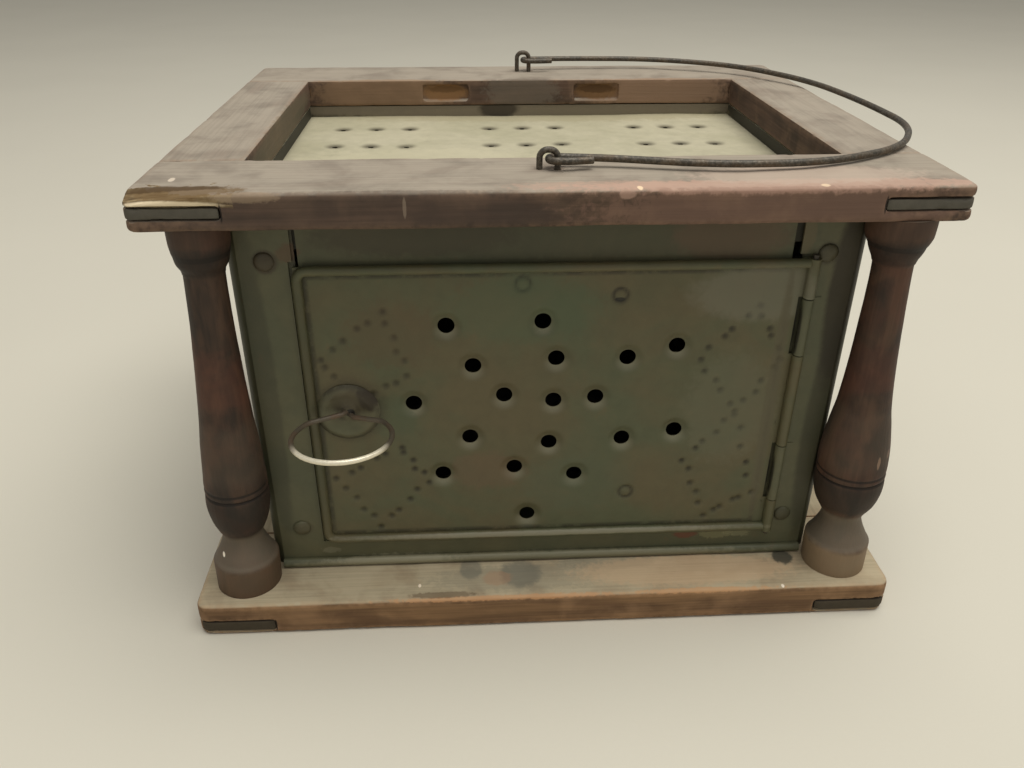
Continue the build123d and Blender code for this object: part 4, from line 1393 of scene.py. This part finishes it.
@dataclass
class Posts:
    """The four turned posts, leaning in a little from the base to the top frame."""

    finish: WoodFinish = POST_WOOD
    foot: Flat = (101.41, 88.5)
    head: Flat = (98.8, 87.5)
    slim: str = "front_left"
    slim_head: Flat = (98.28, 87.03)
    bottom: float = 12.3
    top: float = 137.9
    sunk: float = 0.35  # foot and cap reach this far into the worn frames
    foot_radius: float = 10.5
    cap_height: float = 1.0
    cap_step: float = 0.15
    groove: float = 0.7
    groove_half: float = 0.6
    grooves: Flat = (37.5, 39.9)
    groove_swell: float = 0.05
    rings: int = 220
    uneven: float = 0.3
    lower: tuple[Flat, ...] = (  # heights above the base frame, and radii
        (0.0, 10.5), (9.6, 10.6), (10.8, 10.35), (11.8, 9.6), (13.4, 8.9),
        (16.0, 7.7), (18.6, 6.8), (20.2, 6.55), (21.6, 6.8), (23.4, 7.7),
    )
    bulb: tuple[Flat, ...] = (
        (27.5, 9.8), (32.5, 10.9), (45.0, 10.8), (50.0, 10.35), (57.0, 9.3), (64.0, 8.2),
    )
    slim_bulb: tuple[Flat, ...] = (
        (27.5, 9.1), (32.5, 9.9), (45.0, 9.5), (50.0, 9.25), (57.0, 8.7), (64.0, 8.0),
    )
    shaft: tuple[Flat, ...] = ((75.0, 7.2), (88.0, 6.45), (100.0, 5.95), (110.2, 5.75))
    collar: tuple[Flat, ...] = (
        (111.2, 6.0), (112.8, 6.5), (114.0, 7.1), (115.7, 7.8), (116.6, 8.0), (117.6, 8.6), (119.5, 9.3),
        (121.6, 9.5),
    )
    slim_collar: tuple[Flat, ...] = (
        (111.2, 5.9), (112.4, 6.1), (113.4, 6.7), (114.6, 7.3), (116.6, 7.7), (117.6, 8.0), (118.8, 8.2),
        (120.4, 8.4),
    )

    def profile(self, slim: bool) -> list[Flat]:
        """Outline of a post from foot to cap.

        Args:
            slim: Whether it is the post that was turned slimmer.

        Returns:
            Heights above the base frame, and radii.
        """
        full, collar = (self.slim_bulb, self.slim_collar) if slim else (self.bulb, self.collar)
        girth = (full[1][1] + full[2][1]) / 2 + self.groove_swell
        rings = []
        for height in self.grooves:
            below, above = (height - self.groove_half, girth), (height + self.groove_half, girth)
            rings += [below, (height, girth - self.groove), above]
        cap = collar[-1][1] + self.cap_step
        length = self.top - self.bottom
        head = [*collar, (length - self.cap_height, cap), (length + self.sunk, cap)]
        foot = (-self.sunk, self.foot_radius)
        return [foot, *self.lower, *full[:2], *rings, *full[2:], *self.shaft, *head]

    def build(self, shop: Workshop) -> None:
        """Turn the posts and set each on its leaning axis.

        Args:
            shop: The shared trees.
        """
        finish = self.finish.material(Grain.UPRIGHT, POST_PATCHES)
        for index, (row, side) in enumerate((r, c) for r in ("front", "rear") for c in ("left", "right")):
            name = f"{row}_{side}"
            slim = name == self.slim
            signs = Vector((-1 if side == "left" else 1, -1 if row == "front" else 1, 1))
            foot = Vector((*self.foot, self.bottom)) * signs
            head = Vector((*(self.slim_head if slim else self.head), self.top)) * signs
            heights, radii = zip(*self.profile(slim))
            axis = line([(0, 0, height) for height in heights])
            axis.attributes.new("girth", "FLOAT", "POINT").data.foreach_set("value", [r * MM for r in radii])
            values = {"Rings": self.rings, "Uneven": self.uneven * MM, "Seed": 2.0 + index}
            mesh = shop.turned.run(axis, {**values, "Material": finish})
            lean = (head - foot).to_track_quat("Z", "Y").to_matrix().to_4x4()
            mesh.transform(Matrix.Translation(foot * MM) @ lean)
            piece(f"{name}_turned", mesh, "root", [f"{name}_post"])


@dataclass
class Door:
    """The door: a pricked and pierced sheet with wired edges, rolled round its hinge wire."""

    sheet: float = 0.8
    pane: float = 0.48  # thickness of the worn pane and of the webs
    tuck: float = 0.6  # how far the pane stays inside the leaf's edges
    web_gap: float = 1.0
    web_overlap: float = 0.5
    bead_radius: float = 1.5
    bead_overlap: float = 0.3
    corner: float = 3.0
    knuckle_radius: float = 1.76
    knuckle_gap: float = 0.35
    lower_strap: Flat = (13.8, 21.6)  # distance from the door's lower edge, and length
    upper_strap: Flat = (12.9, 18.7)  # distance from its upper edge, and length
    hole_centre: Flat = (1.5, 76.0)
    holes: tuple[Flat, ...] = (  # distance from the centre, and degrees
        (0.0, 0), (13.4, 4), (15.0, 88), (15.8, 172), (15.8, 266), (27.2, 33), (27.9, 98), (28.4, 153),
        (29.7, 206), (28.1, 244), (29.6, 285), (27.2, 327), (42.3, 26), (42.7, 141), (44.2, 180), (44.9, 217),
        (45.5, 260), (41.7, 343),
    )
    dents: tuple[Flat, ...] = ((40.9, 62), (41.7, 104), (44.2, 305))
    latch: Flat = (-63.3, 73.9)
    diamonds: tuple[tuple[Flat, Flat, Flat, Flat], ...] = (
        ((-50.7, 108.3), (-70.5, 93.0), (-62.0, 76.0), (-44.0, 86.6)),
        ((-48.0, 60.5), (-39.5, 46.5), (-56.0, 28.0), (-69.0, 48.0)),
        ((63.0, 108.0), (73.0, 90.0), (61.0, 70.0), (46.7, 90.4)),
        ((61.0, 70.0), (70.0, 38.0), (54.6, 29.0), (45.5, 52.6)),
    )
    dots_on_side: int = 5
    wander: float = 0.7  # how far the dots stray from a straight side
    stray_turns: tuple[Flat, Flat] = ((7.3, 3.1), (5.1, 2.3))  # of the waves that they stray by

    def polar(self, places: Sequence[Flat]) -> list[Flat]:
        """Places on the door from distances and directions round the rosette's middle."""
        x, z = self.hole_centre
        return [(x + far * cos(radians(turn)), z + far * sin(radians(turn))) for far, turn in places]

    def pricks(self) -> list[Flat]:
        """Pricked dots along the sides of the four tilted squares.

        Returns:
            Their places on the door.
        """
        found = []
        across, upright = self.stray_turns
        for square in self.diamonds:
            for start, end in zip(square, square[1:] + square[:1]):
                for index in range(self.dots_on_side):
                    share = index / self.dots_on_side
                    stray_x = self.wander * sin(across[0] * start[0] + across[1] * index)
                    stray_z = self.wander * sin(upright[0] * end[1] + upright[1] * index)
                    x = start[0] + (end[0] - start[0]) * share + stray_x
                    found.append((x, start[1] + (end[1] - start[1]) * share + stray_z))
        return found

    def build(self, shop: Workshop) -> None:
        """Make the leaf and dress the wire.

        Args:
            shop: The shared trees.
        """
        finish = TIN_DOOR.material(DOOR_PATCHES)
        low, high = corners("door")
        hinge_x, hinge_y = high.x - self.knuckle_radius, high.y - self.knuckle_radius
        right = hinge_x - self.knuckle_radius - self.web_gap
        parts = [self.pierced(shop, finish, low, high, right), self.bead(shop, finish, low, high)]
        lower_end = low.z + sum(self.lower_strap)
        upper_start = high.z - sum(self.upper_strap)
        stops = (
            (low.z, low.z + self.lower_strap[0] - self.knuckle_gap),
            (lower_end + self.knuckle_gap, upper_start - self.knuckle_gap),
            (high.z - self.upper_strap[0] + self.knuckle_gap, high.z),
        )
        for stop in stops:
            axis = [(hinge_x, hinge_y, height) for height in stop]
            parts.append(shop.rod(axis, self.knuckle_radius, finish, uneven=0.2, seed=5.0))
        face = high.y - self.sheet
        web = ((right - self.web_overlap, face), (hinge_x, face))
        parts += [plate(*web, *stop, self.pane) for stop in stops]
        piece("door_leaf", join(parts, finish), "door", ["door"])
        dress(["hinge_wire"], DARK_IRON.material())

    def pierced(
        self, shop: Workshop, finish: bpy.types.Material, low: Vector, high: Vector, right: float
    ) -> bpy.types.Mesh:
        """Make the pierced pane.

        Args:
            shop: The shared trees.
            finish: Its finish.
            low: Lowest corner of the door.
            high: Highest corner of the door.
            right: Where the pane ends on the right.

        Returns:
            The pane's mesh.
        """
        left, bottom, top = low.x + self.tuck, low.z + self.tuck, high.z - self.tuck
        middle = Vector(((left + right) / 2, high.y - self.sheet, (bottom + top) / 2))

        def local(places: Sequence[Flat]) -> tuple[Flat, ...]:
            """Places measured from the pane's middle."""
            return tuple((x - middle.x, z - middle.z) for x, z in places)

        work = Punching(
            width=right - left,
            height=top - bottom,
            seed=2.4,
            holes=local([*self.polar(self.holes), self.latch]),
            dents=local(self.polar(self.dents)),
            dots=local(self.pricks()),
            cell=0.7,
            hole_radius=2.6,
            crater_width=2.8,
            crater_depth=1.15,
            crater_dirt=0.08,
            dent_radius=2.2,
            dent_depth=0.45,
            dot_radius=1.3,
            dot_depth=0.6,
            sway=1.3,
            margin=9.0,
            # dark line in the crease inside the beads: grime and painted shade
            grime_line=3.0,
            grime_width=1.3,
        )
        pane = shop.punch.sheet(work, finish, self.pane)
        pane.transform(Facing.FRONT.place(middle))
        return pane

    def bead(self, shop: Workshop, finish: bpy.types.Material, low: Vector, high: Vector) -> bpy.types.Mesh:
        """Roll the wired edge round the pane's three free sides.

        Args:
            shop: The shared trees.
            finish: Its finish.
            low: Lowest corner of the door.
            high: Highest corner of the door.

        Returns:
            The edge's mesh.
        """
        inset = self.bead_radius
        end = high.x - 2 * self.knuckle_radius + self.bead_overlap
        turns = ((end, high.z - inset), (low.x + inset, high.z - inset), (low.x + inset, low.z + inset))
        points = [(x, high.y - inset, z) for x, z in (*turns, (end, low.z + inset))]
        return shop.rod(points, self.bead_radius, finish, bend=self.corner, uneven=0.35, seed=3.0)


@dataclass(frozen=True)
class Fold:
    """A flat sheet folded into a wall with a bend and a flange at both ends."""

    radius: float
    first: float  # lengths of the two flanges
    last: float
    wall: float
    calm_run: float  # the sway dies away over this towards a bend

    @property
    def corner(self) -> float:
        """Length of a bend."""
        return self.radius * pi / 2

    @property
    def width(self) -> float:
        """Width of the flat sheet."""
        return self.first + self.last + 2 * self.corner + self.wall

    def place(self, across: float) -> tuple[Vector, Vector, float]:
        """Where a point of the flat sheet comes to lie, as seen from above.

        Args:
            across: Its distance from the sheet's middle.

        Returns:
            Its place, the direction outwards there, and how much of the sway stays, from 0 to 1.
        """
        along = across + (self.last - self.first) / 2
        end, half = copysign(1, along), self.wall / 2
        away = abs(along) - half
        if away < 0:
            calm = min(1.0, -away / self.calm_run)
            return Vector((0, along)), Vector((1, 0)), calm * calm * (3 - 2 * calm)
        if away < self.corner:
            turn = away / self.radius
            out = Vector((cos(turn), end * sin(turn)))
            return Vector((-self.radius, end * half)) + self.radius * out, out, 0.0
        place = (self.corner - away - self.radius, end * (half + self.radius))
        return Vector(place), Vector((0, end)), 0.0


@dataclass
class TinBox:
    """The walls, top, floor and seams of the ember box."""

    sheet: float = 0.8
    bend_radius: float = 5.0
    swell: float = 1.9  # the side walls have sprung out this far
    front_flange: float = 18.1
    back_flange: float = 12.0
    calm_run: float = 14.0
    rosette_height: float = 76.0
    side_ring: tuple[float, int] = (26.0, 8)
    back_rings: tuple[tuple[float, int], ...] = ((16.0, 6), (32.0, 10))
    top_groups: tuple[float, ...] = (-60.2, -1.3, 57.9)
    top_pitch: Flat = (13.4, 27.4)
    top_shift: float = -1.5
    rim_inset: float = 0.05
    rim_drop: float = 0.2
    lip_step: float = 0.4  # how far the turned-up edge stands under the rails
    lip_foot: float = 0.6
    lip_gap: float = 0.2
    rivet_radius: float = 2.9
    rivet_dome: float = 1.05
    seam_face: float = 82.7
    rivets: tuple[Flat, ...] = ((-82.9, 28.2), (82.9, 28.2), (-82.9, 124.3))
    last_rivets: tuple[Flat, Flat] = ((81.6, 124.3), (82.9, 124.3))  # upper right, front and back

    def build(self, shop: Workshop) -> None:
        """Make the walls and the top, and dress the rest.

        Args:
            shop: The shared trees.
        """
        wall = TIN_WALL.material(WALL_PATCHES)
        dress(["front_panel", "header_strip", "bottom_panel"], wall)
        self.side(shop, "left", wall)
        self.side(shop, "right", wall)
        self.back(shop, wall)
        self.top(shop)
        self.seams(shop, wall)
        dress(["ember_pan"], PAN_TIN.material())

    def back(self, shop: Workshop, finish: bpy.types.Material) -> None:
        """Make the flat back wall.

        Args:
            shop: The shared trees.
            finish: Its finish.
        """
        low, high = corners("back_panel")
        middle = (low + high) / 2
        rise = self.rosette_height - middle.z
        rings = [place for radius, count in self.back_rings for place in on_circle(radius, count)]
        holes = ((0.0, rise), *((x, y + rise) for x, y in rings))
        work = Punching(high.x - low.x, high.z - low.z, seed=8.0, holes=holes)
        mesh = shop.punch.sheet(work, finish, self.sheet)
        middle.y = high.y
        mesh.transform(Facing.BACK.place(middle))
        piece("back_wall", mesh, "root", ["back_panel"])

    def side(self, shop: Workshop, name: str, finish: bpy.types.Material) -> None:
        """Make one side wall: a punched sheet folded back at both ends.

        Args:
            shop: The shared trees.
            name: Which side, left or right.
            finish: Its finish.
        """
        low, high = corners(f"{name}_panel")
        middle = (low + high) / 2
        sign, edge = (1, high.x + self.swell) if name == "right" else (-1, low.x - self.swell)
        flanges = [flange + self.swell - self.bend_radius for flange in (self.front_flange, self.back_flange)]
        fold = Fold(self.bend_radius, *flanges[::sign], high.y - low.y - 2 * self.bend_radius, self.calm_run)
        rise = self.rosette_height - middle.z
        shift = (fold.first - fold.last) / 2
        holes = ((shift, rise), *((x + shift, y + rise) for x, y in on_circle(*self.side_ring)))
        work = Punching(fold.width, high.z - low.z, seed=5.0 + sign, holes=holes)
        flat = shop.punch.sheet(work, finish, 0.0)
        for vertex in flat.vertices:
            across, up, lift = vertex.co / MM
            point, out, calm = fold.place(across)
            point = point + out * lift * calm
            vertex.co = Vector((edge + sign * point.x, middle.y + sign * point.y, up + middle.z)) * MM
        piece(f"{name}_wall", thicken(flat, self.sheet), "root", [f"{name}_panel"])

    def top(self, shop: Workshop) -> None:
        """Make the pierced tin top with its turned-down rim and its turned-up edges.

        Args:
            shop: The shared trees.
        """
        low, high = corners("top_panel")
        finish = TIN_TOP.material(LID_PATCHES)
        middle = (low + high) / 2
        step_x, step_y = self.top_pitch
        holes = tuple(
            (group + column * step_x - middle.x, row * step_y + self.top_shift)
            for group in self.top_groups
            for column in (-1, 0, 1)
            for row in (-1.5, -0.5, 0.5, 1.5)
        )
        work = Punching(
            high.x - low.x,
            high.y - low.y,
            seed=11.0,
            holes=holes,
            cell=0.9,
            hole_radius=1.1,
            crater_width=3.6,
            crater_depth=0.5,
            crater_dirt=1.0,
            sway=1.4,
        )
        lid = shop.punch.sheet(work, finish, self.sheet)
        middle.z = high.z
        lid.transform(Facing.UP.place(middle))
        x0, y0 = low.x + self.rim_inset, low.y + self.rim_inset
        x1, y1 = high.x - self.rim_inset, high.y - self.rim_inset
        ring = [(x0, y0), (x1, y0), (x1, y1), (x0, y1)]
        points = [(x, y, z) for z in (high.z - self.rim_drop, low.z) for x, y in ring]
        rim = drawn(points, faces=[(i, i + 4, (i + 1) % 4 + 4, (i + 1) % 4) for i in range(4)])
        rail = corners("top_rear_rail")[0]
        back = rail.y + self.lip_step
        left = corners("top_left_rail")[1].x - self.lip_step
        right = corners("top_right_rail")[0].x + self.lip_step
        runs = (((x0, back), (x1, back)), ((left, y0), (left, back)), ((right, back), (right, y0)))
        foot, head = high.z - self.lip_foot, rail.z - self.lip_gap
        lips = [plate(start, end, foot, head, self.sheet) for start, end in runs]
        mesh = join([lid, thicken(rim, self.sheet), *lips], finish)
        piece("tin_top", mesh, "root", ["top_panel"])

    def seams(self, shop: Workshop, finish: bpy.types.Material) -> None:
        """Make the hand-closed rivets of the front and back seams.

        Args:
            shop: The shared trees.
            finish: The rivets' finish.
        """
        sides = (("front", Facing.FRONT, -self.seam_face, 3), ("back", Facing.BACK, self.seam_face, 9))
        for (name, facing, face, seed), last in zip(sides, self.last_rivets):
            places = drawn([(x, z, 0) for x, z in (*self.rivets, last)])
            sizes = {"Radius": self.rivet_radius * MM, "Dome": self.rivet_dome * MM}
            mesh = shop.rivets.run(places, {**sizes, "Seed": seed, "Material": finish})
            mesh.transform(facing.place(Vector((0, face, 0))))
            piece(f"{name}_seam_rivets", mesh, "root", [f"{name}_rivets"])


@dataclass
class Latch:
    """The turn latch: a dished escutcheon on the door, and a wire ring that turns in its middle."""

    axis: Flat = (-63.3, 73.9)
    face: float = -83.05
    stem_start: float = 0.6
    stem_end: float = -79.45
    profile: tuple[Flat, ...] = (  # radii of the dish, and how far each stands proud
        (1.5, 0.95), (2.3, 0.55), (4.2, 0.4), (6.4, 0.95), (7.4, 1.35), (8.2, 1.1), (9.3, 0.45), (10.0, 0.0),
        (9.7, -0.5),
    )
    # grime and painted shade on each ring of the profile, strongest at the hub and where the dish meets the
    # door
    soiled: tuple[float, ...] = (0.4, 1.0, 0.3, 0.0, 0.0, 0.1, 0.8, 1.0, 1.0)
    steps: int = 56
    oval: float = 0.012
    beaten: float = 0.07
    ring_radius: float = 14.9
    wire_radius: float = 0.8
    ring_lift: float = 4.0  # degrees
    ring_rear: float = -84.5
    opening: int = 48  # degrees of the ring, each side of the hub, where its ends run in
    ring_step: int = 6
    # reach of the rubbed place on the ring's front, which carries a painted highlight
    rubbed_reach: Point = (17.0, 13.5, 6.0)

    def build(self, shop: Workshop) -> None:
        """Make the escutcheon and the ring, and dress the finger.

        Args:
            shop: The shared trees.
        """
        x, z = self.axis
        middle = (x, self.face - 1, z)
        patches = [
            replace(patch, centre=tuple(a + b for a, b in zip(middle, patch.centre)))
            for patch in LATCH_LIGHT_AND_SHADE
        ]
        dish = LATCH_TIN.material(patches)
        piece("latch_dish", self.dish(dish), "door", ["latch_escutcheon"])
        front = (x, self.ring_rear - 2 * self.ring_radius, z + 2)
        wire = replace(RING_IRON, rubbed=(front, self.rubbed_reach)).material()
        shaft = [(x, self.face - self.stem_start, z), (x, self.stem_end, z)]
        parts = [
            shop.rod(self.loop(), self.wire_radius, wire, bend=0.8, uneven=0.12, seed=4.0),
            shop.rod(shaft, self.wire_radius, wire),
        ]
        piece("latch_wire_ring", join(parts, wire), "latch", ["latch_ring"])
        dress(["latch_finger"], BAIL_IRON.material())

    def dish(self, finish: bpy.types.Material) -> bpy.types.Mesh:
        """Turn the escutcheon from its profile, a little out of round and hammered.

        Args:
            finish: Its finish.

        Returns:
            The dish's mesh.
        """
        shape = bmesh.new()
        x, z = self.axis

        def point(radius: float, rise: float, turn: float) -> bmesh.types.BMVert:
            """Add one point of the dish.

            Args:
                radius: Its distance from the latch's middle.
                rise: How far it stands proud of the door.
                turn: Its direction from the middle.

            Returns:
                The point.
            """
            far = radius * (1 + self.oval * sin(2 * turn + 0.6))
            lift = rise + self.beaten * sin(3 * turn + radius) * min(1.0, radius / 4)
            return shape.verts.new(Vector((x + far * cos(turn), self.face - lift, z + far * sin(turn))) * MM)

        # grime and painted shade on the dish, read by its finish
        grime = shape.verts.layers.float.new("grime")
        turns = [tau * i / self.steps for i in range(self.steps)]
        rings = [[point(radius, rise, turn) for turn in turns] for radius, rise in self.profile]
        for ring, amount in zip(rings, self.soiled):
            for vertex in ring:
                vertex[grime] = amount
        middle = point(0.0, self.profile[0][1], 0.0)
        back = point(0.0, self.profile[-1][1], 0.0)
        for index in range(self.steps):
            after = (index + 1) % self.steps
            shape.faces.new((middle, rings[0][index], rings[0][after]))
            shape.faces.new((back, rings[-1][after], rings[-1][index]))
            for inner, outer in zip(rings, rings[1:]):
                shape.faces.new((inner[index], outer[index], outer[after], inner[after]))
        bmesh.ops.recalc_face_normals(shape, faces=shape.faces)
        return join([plain(shape)], finish)

    def loop(self) -> list[Point]:
        """Line of the ring: round its front, then both ends into the hub.

        Returns:
            Points of the line.
        """
        x, z = self.axis
        rise, reach = sin(radians(self.ring_lift)), cos(radians(self.ring_lift))
        front = []
        for turn in range(self.opening, 361 - self.opening, self.ring_step):
            side = self.ring_radius * sin(radians(turn))
            back = self.ring_radius * (1 - cos(radians(turn)))
            front.append((x + side, self.ring_rear - back * reach, z + back * rise))
        right = [(x + 0.5, self.face - 0.3, z - 0.5), (x + 1.6, self.ring_rear - 0.8, z - 0.5)]
        left = [(x - 1.4, self.ring_rear - 0.6, z + 0.5), (x - 0.3, self.face - 0.3, z + 0.5)]
        return [*right, *front, *left]


@dataclass
class Wires:
    """The bail and its staples."""

    nodes: tuple[str, ...] = ("bail_handle", "front_staple", "rear_staple")

    def build(self) -> None:
        """Dress the wires."""
        dress(self.nodes, BAIL_IRON.material())


@dataclass(frozen=True)
class Lamp:
    """Large soft lamp that looks at the object."""

    name: str
    place: Point
    size: float
    power: float  # watts
    colour: Point = (1.0, 0.98, 0.94)
    target: Point = (0, 0, 80)

    def hang(self) -> None:
        """Put the lamp up."""
        data = bpy.data.lights.new(self.name, "AREA")
        data.size = self.size * MM
        data.energy = self.power
        data.color = self.colour
        light = linked(self.name, data)
        light.location = Vector(self.place) * MM
        aim = Vector(self.target) * MM - light.location
        light.rotation_euler = aim.to_track_quat("-Z", "Y").to_euler()


@dataclass
class Studio:
    """Camera, lamps and floor."""

    place: Point = (-24.88, -318.4, 215.4)
    pitch: float = 60.62  # degrees
    roll: float = -0.43
    yaw: float = -2.70
    lens: float = 30.41
    sensor: float = 36.0
    nearest: float = 10.0
    lamps: tuple[Lamp, ...] = (
        Lamp("ceiling_lamp", (300, -120, 1500), 1300, 21.0),
        Lamp("front_fill", (-300, -1500, 900), 1200, 1.5),
    )
    sky: float = 0.34
    sky_colour: tuple[float, float, float, float] = (1.0, 0.985, 0.955, 1.0)
    floor_reach: float = 12000.0

    def build(self) -> None:
        """Put up the camera, the lamps, the sky and the floor."""
        self.camera()
        for lamp in self.lamps:
            lamp.hang()
        world = bpy.data.worlds.new("soft_sky")
        world.use_nodes = True
        backdrop = world.node_tree.nodes["Background"].inputs
        backdrop["Color"].default_value = self.sky_colour
        backdrop["Strength"].default_value = self.sky
        bpy.context.scene.world = world
        bpy.context.scene.view_settings.view_transform = "Standard"
        corner = self.floor_reach
        outline = [(-corner, -corner, 0), (corner, -corner, 0), (corner, corner, 0), (-corner, corner, 0)]
        floor = linked("floor", drawn(outline, faces=[(0, 1, 2, 3)]))
        floor.data.materials.append(FloorFinish().material())

    def camera(self) -> None:
        """Camera at the fitted place and angle."""
        data = bpy.data.cameras.new("camera")
        data.sensor_width = self.sensor
        data.lens = self.lens
        data.clip_start = self.nearest * MM
        camera = linked("camera", data)
        turn = Matrix.Identity(4)
        for angle, axis in ((self.yaw, "Z"), (self.pitch, "X"), (self.roll, "Y")):
            turn = turn @ Matrix.Rotation(radians(angle), 4, axis)
        camera.matrix_world = Matrix.Translation(Vector(self.place) * MM) @ turn
        bpy.context.scene.camera = camera


def main() -> None:
    """Build every sub-assembly in order."""
    logging.basicConfig(level=logging.INFO, format="%(message)s")
    Studio().build()
    shop = Workshop()
    WoodenFrame("base", BASE_WOOD, "base_wood", tongue=4.4, patches=BASE_PATCHES, tongue_drop=2.6).build(shop)
    WoodenFrame("top", TOP_WOOD, "top_wood", tongue=3.6, patches=TOP_PATCHES, broken_run=29.0).build(shop)
    Posts().build(shop)
    TinBox().build(shop)
    Door().build(shop)
    Latch().build(shop)
    Wires().build()


if __name__ == "__main__":
    main()
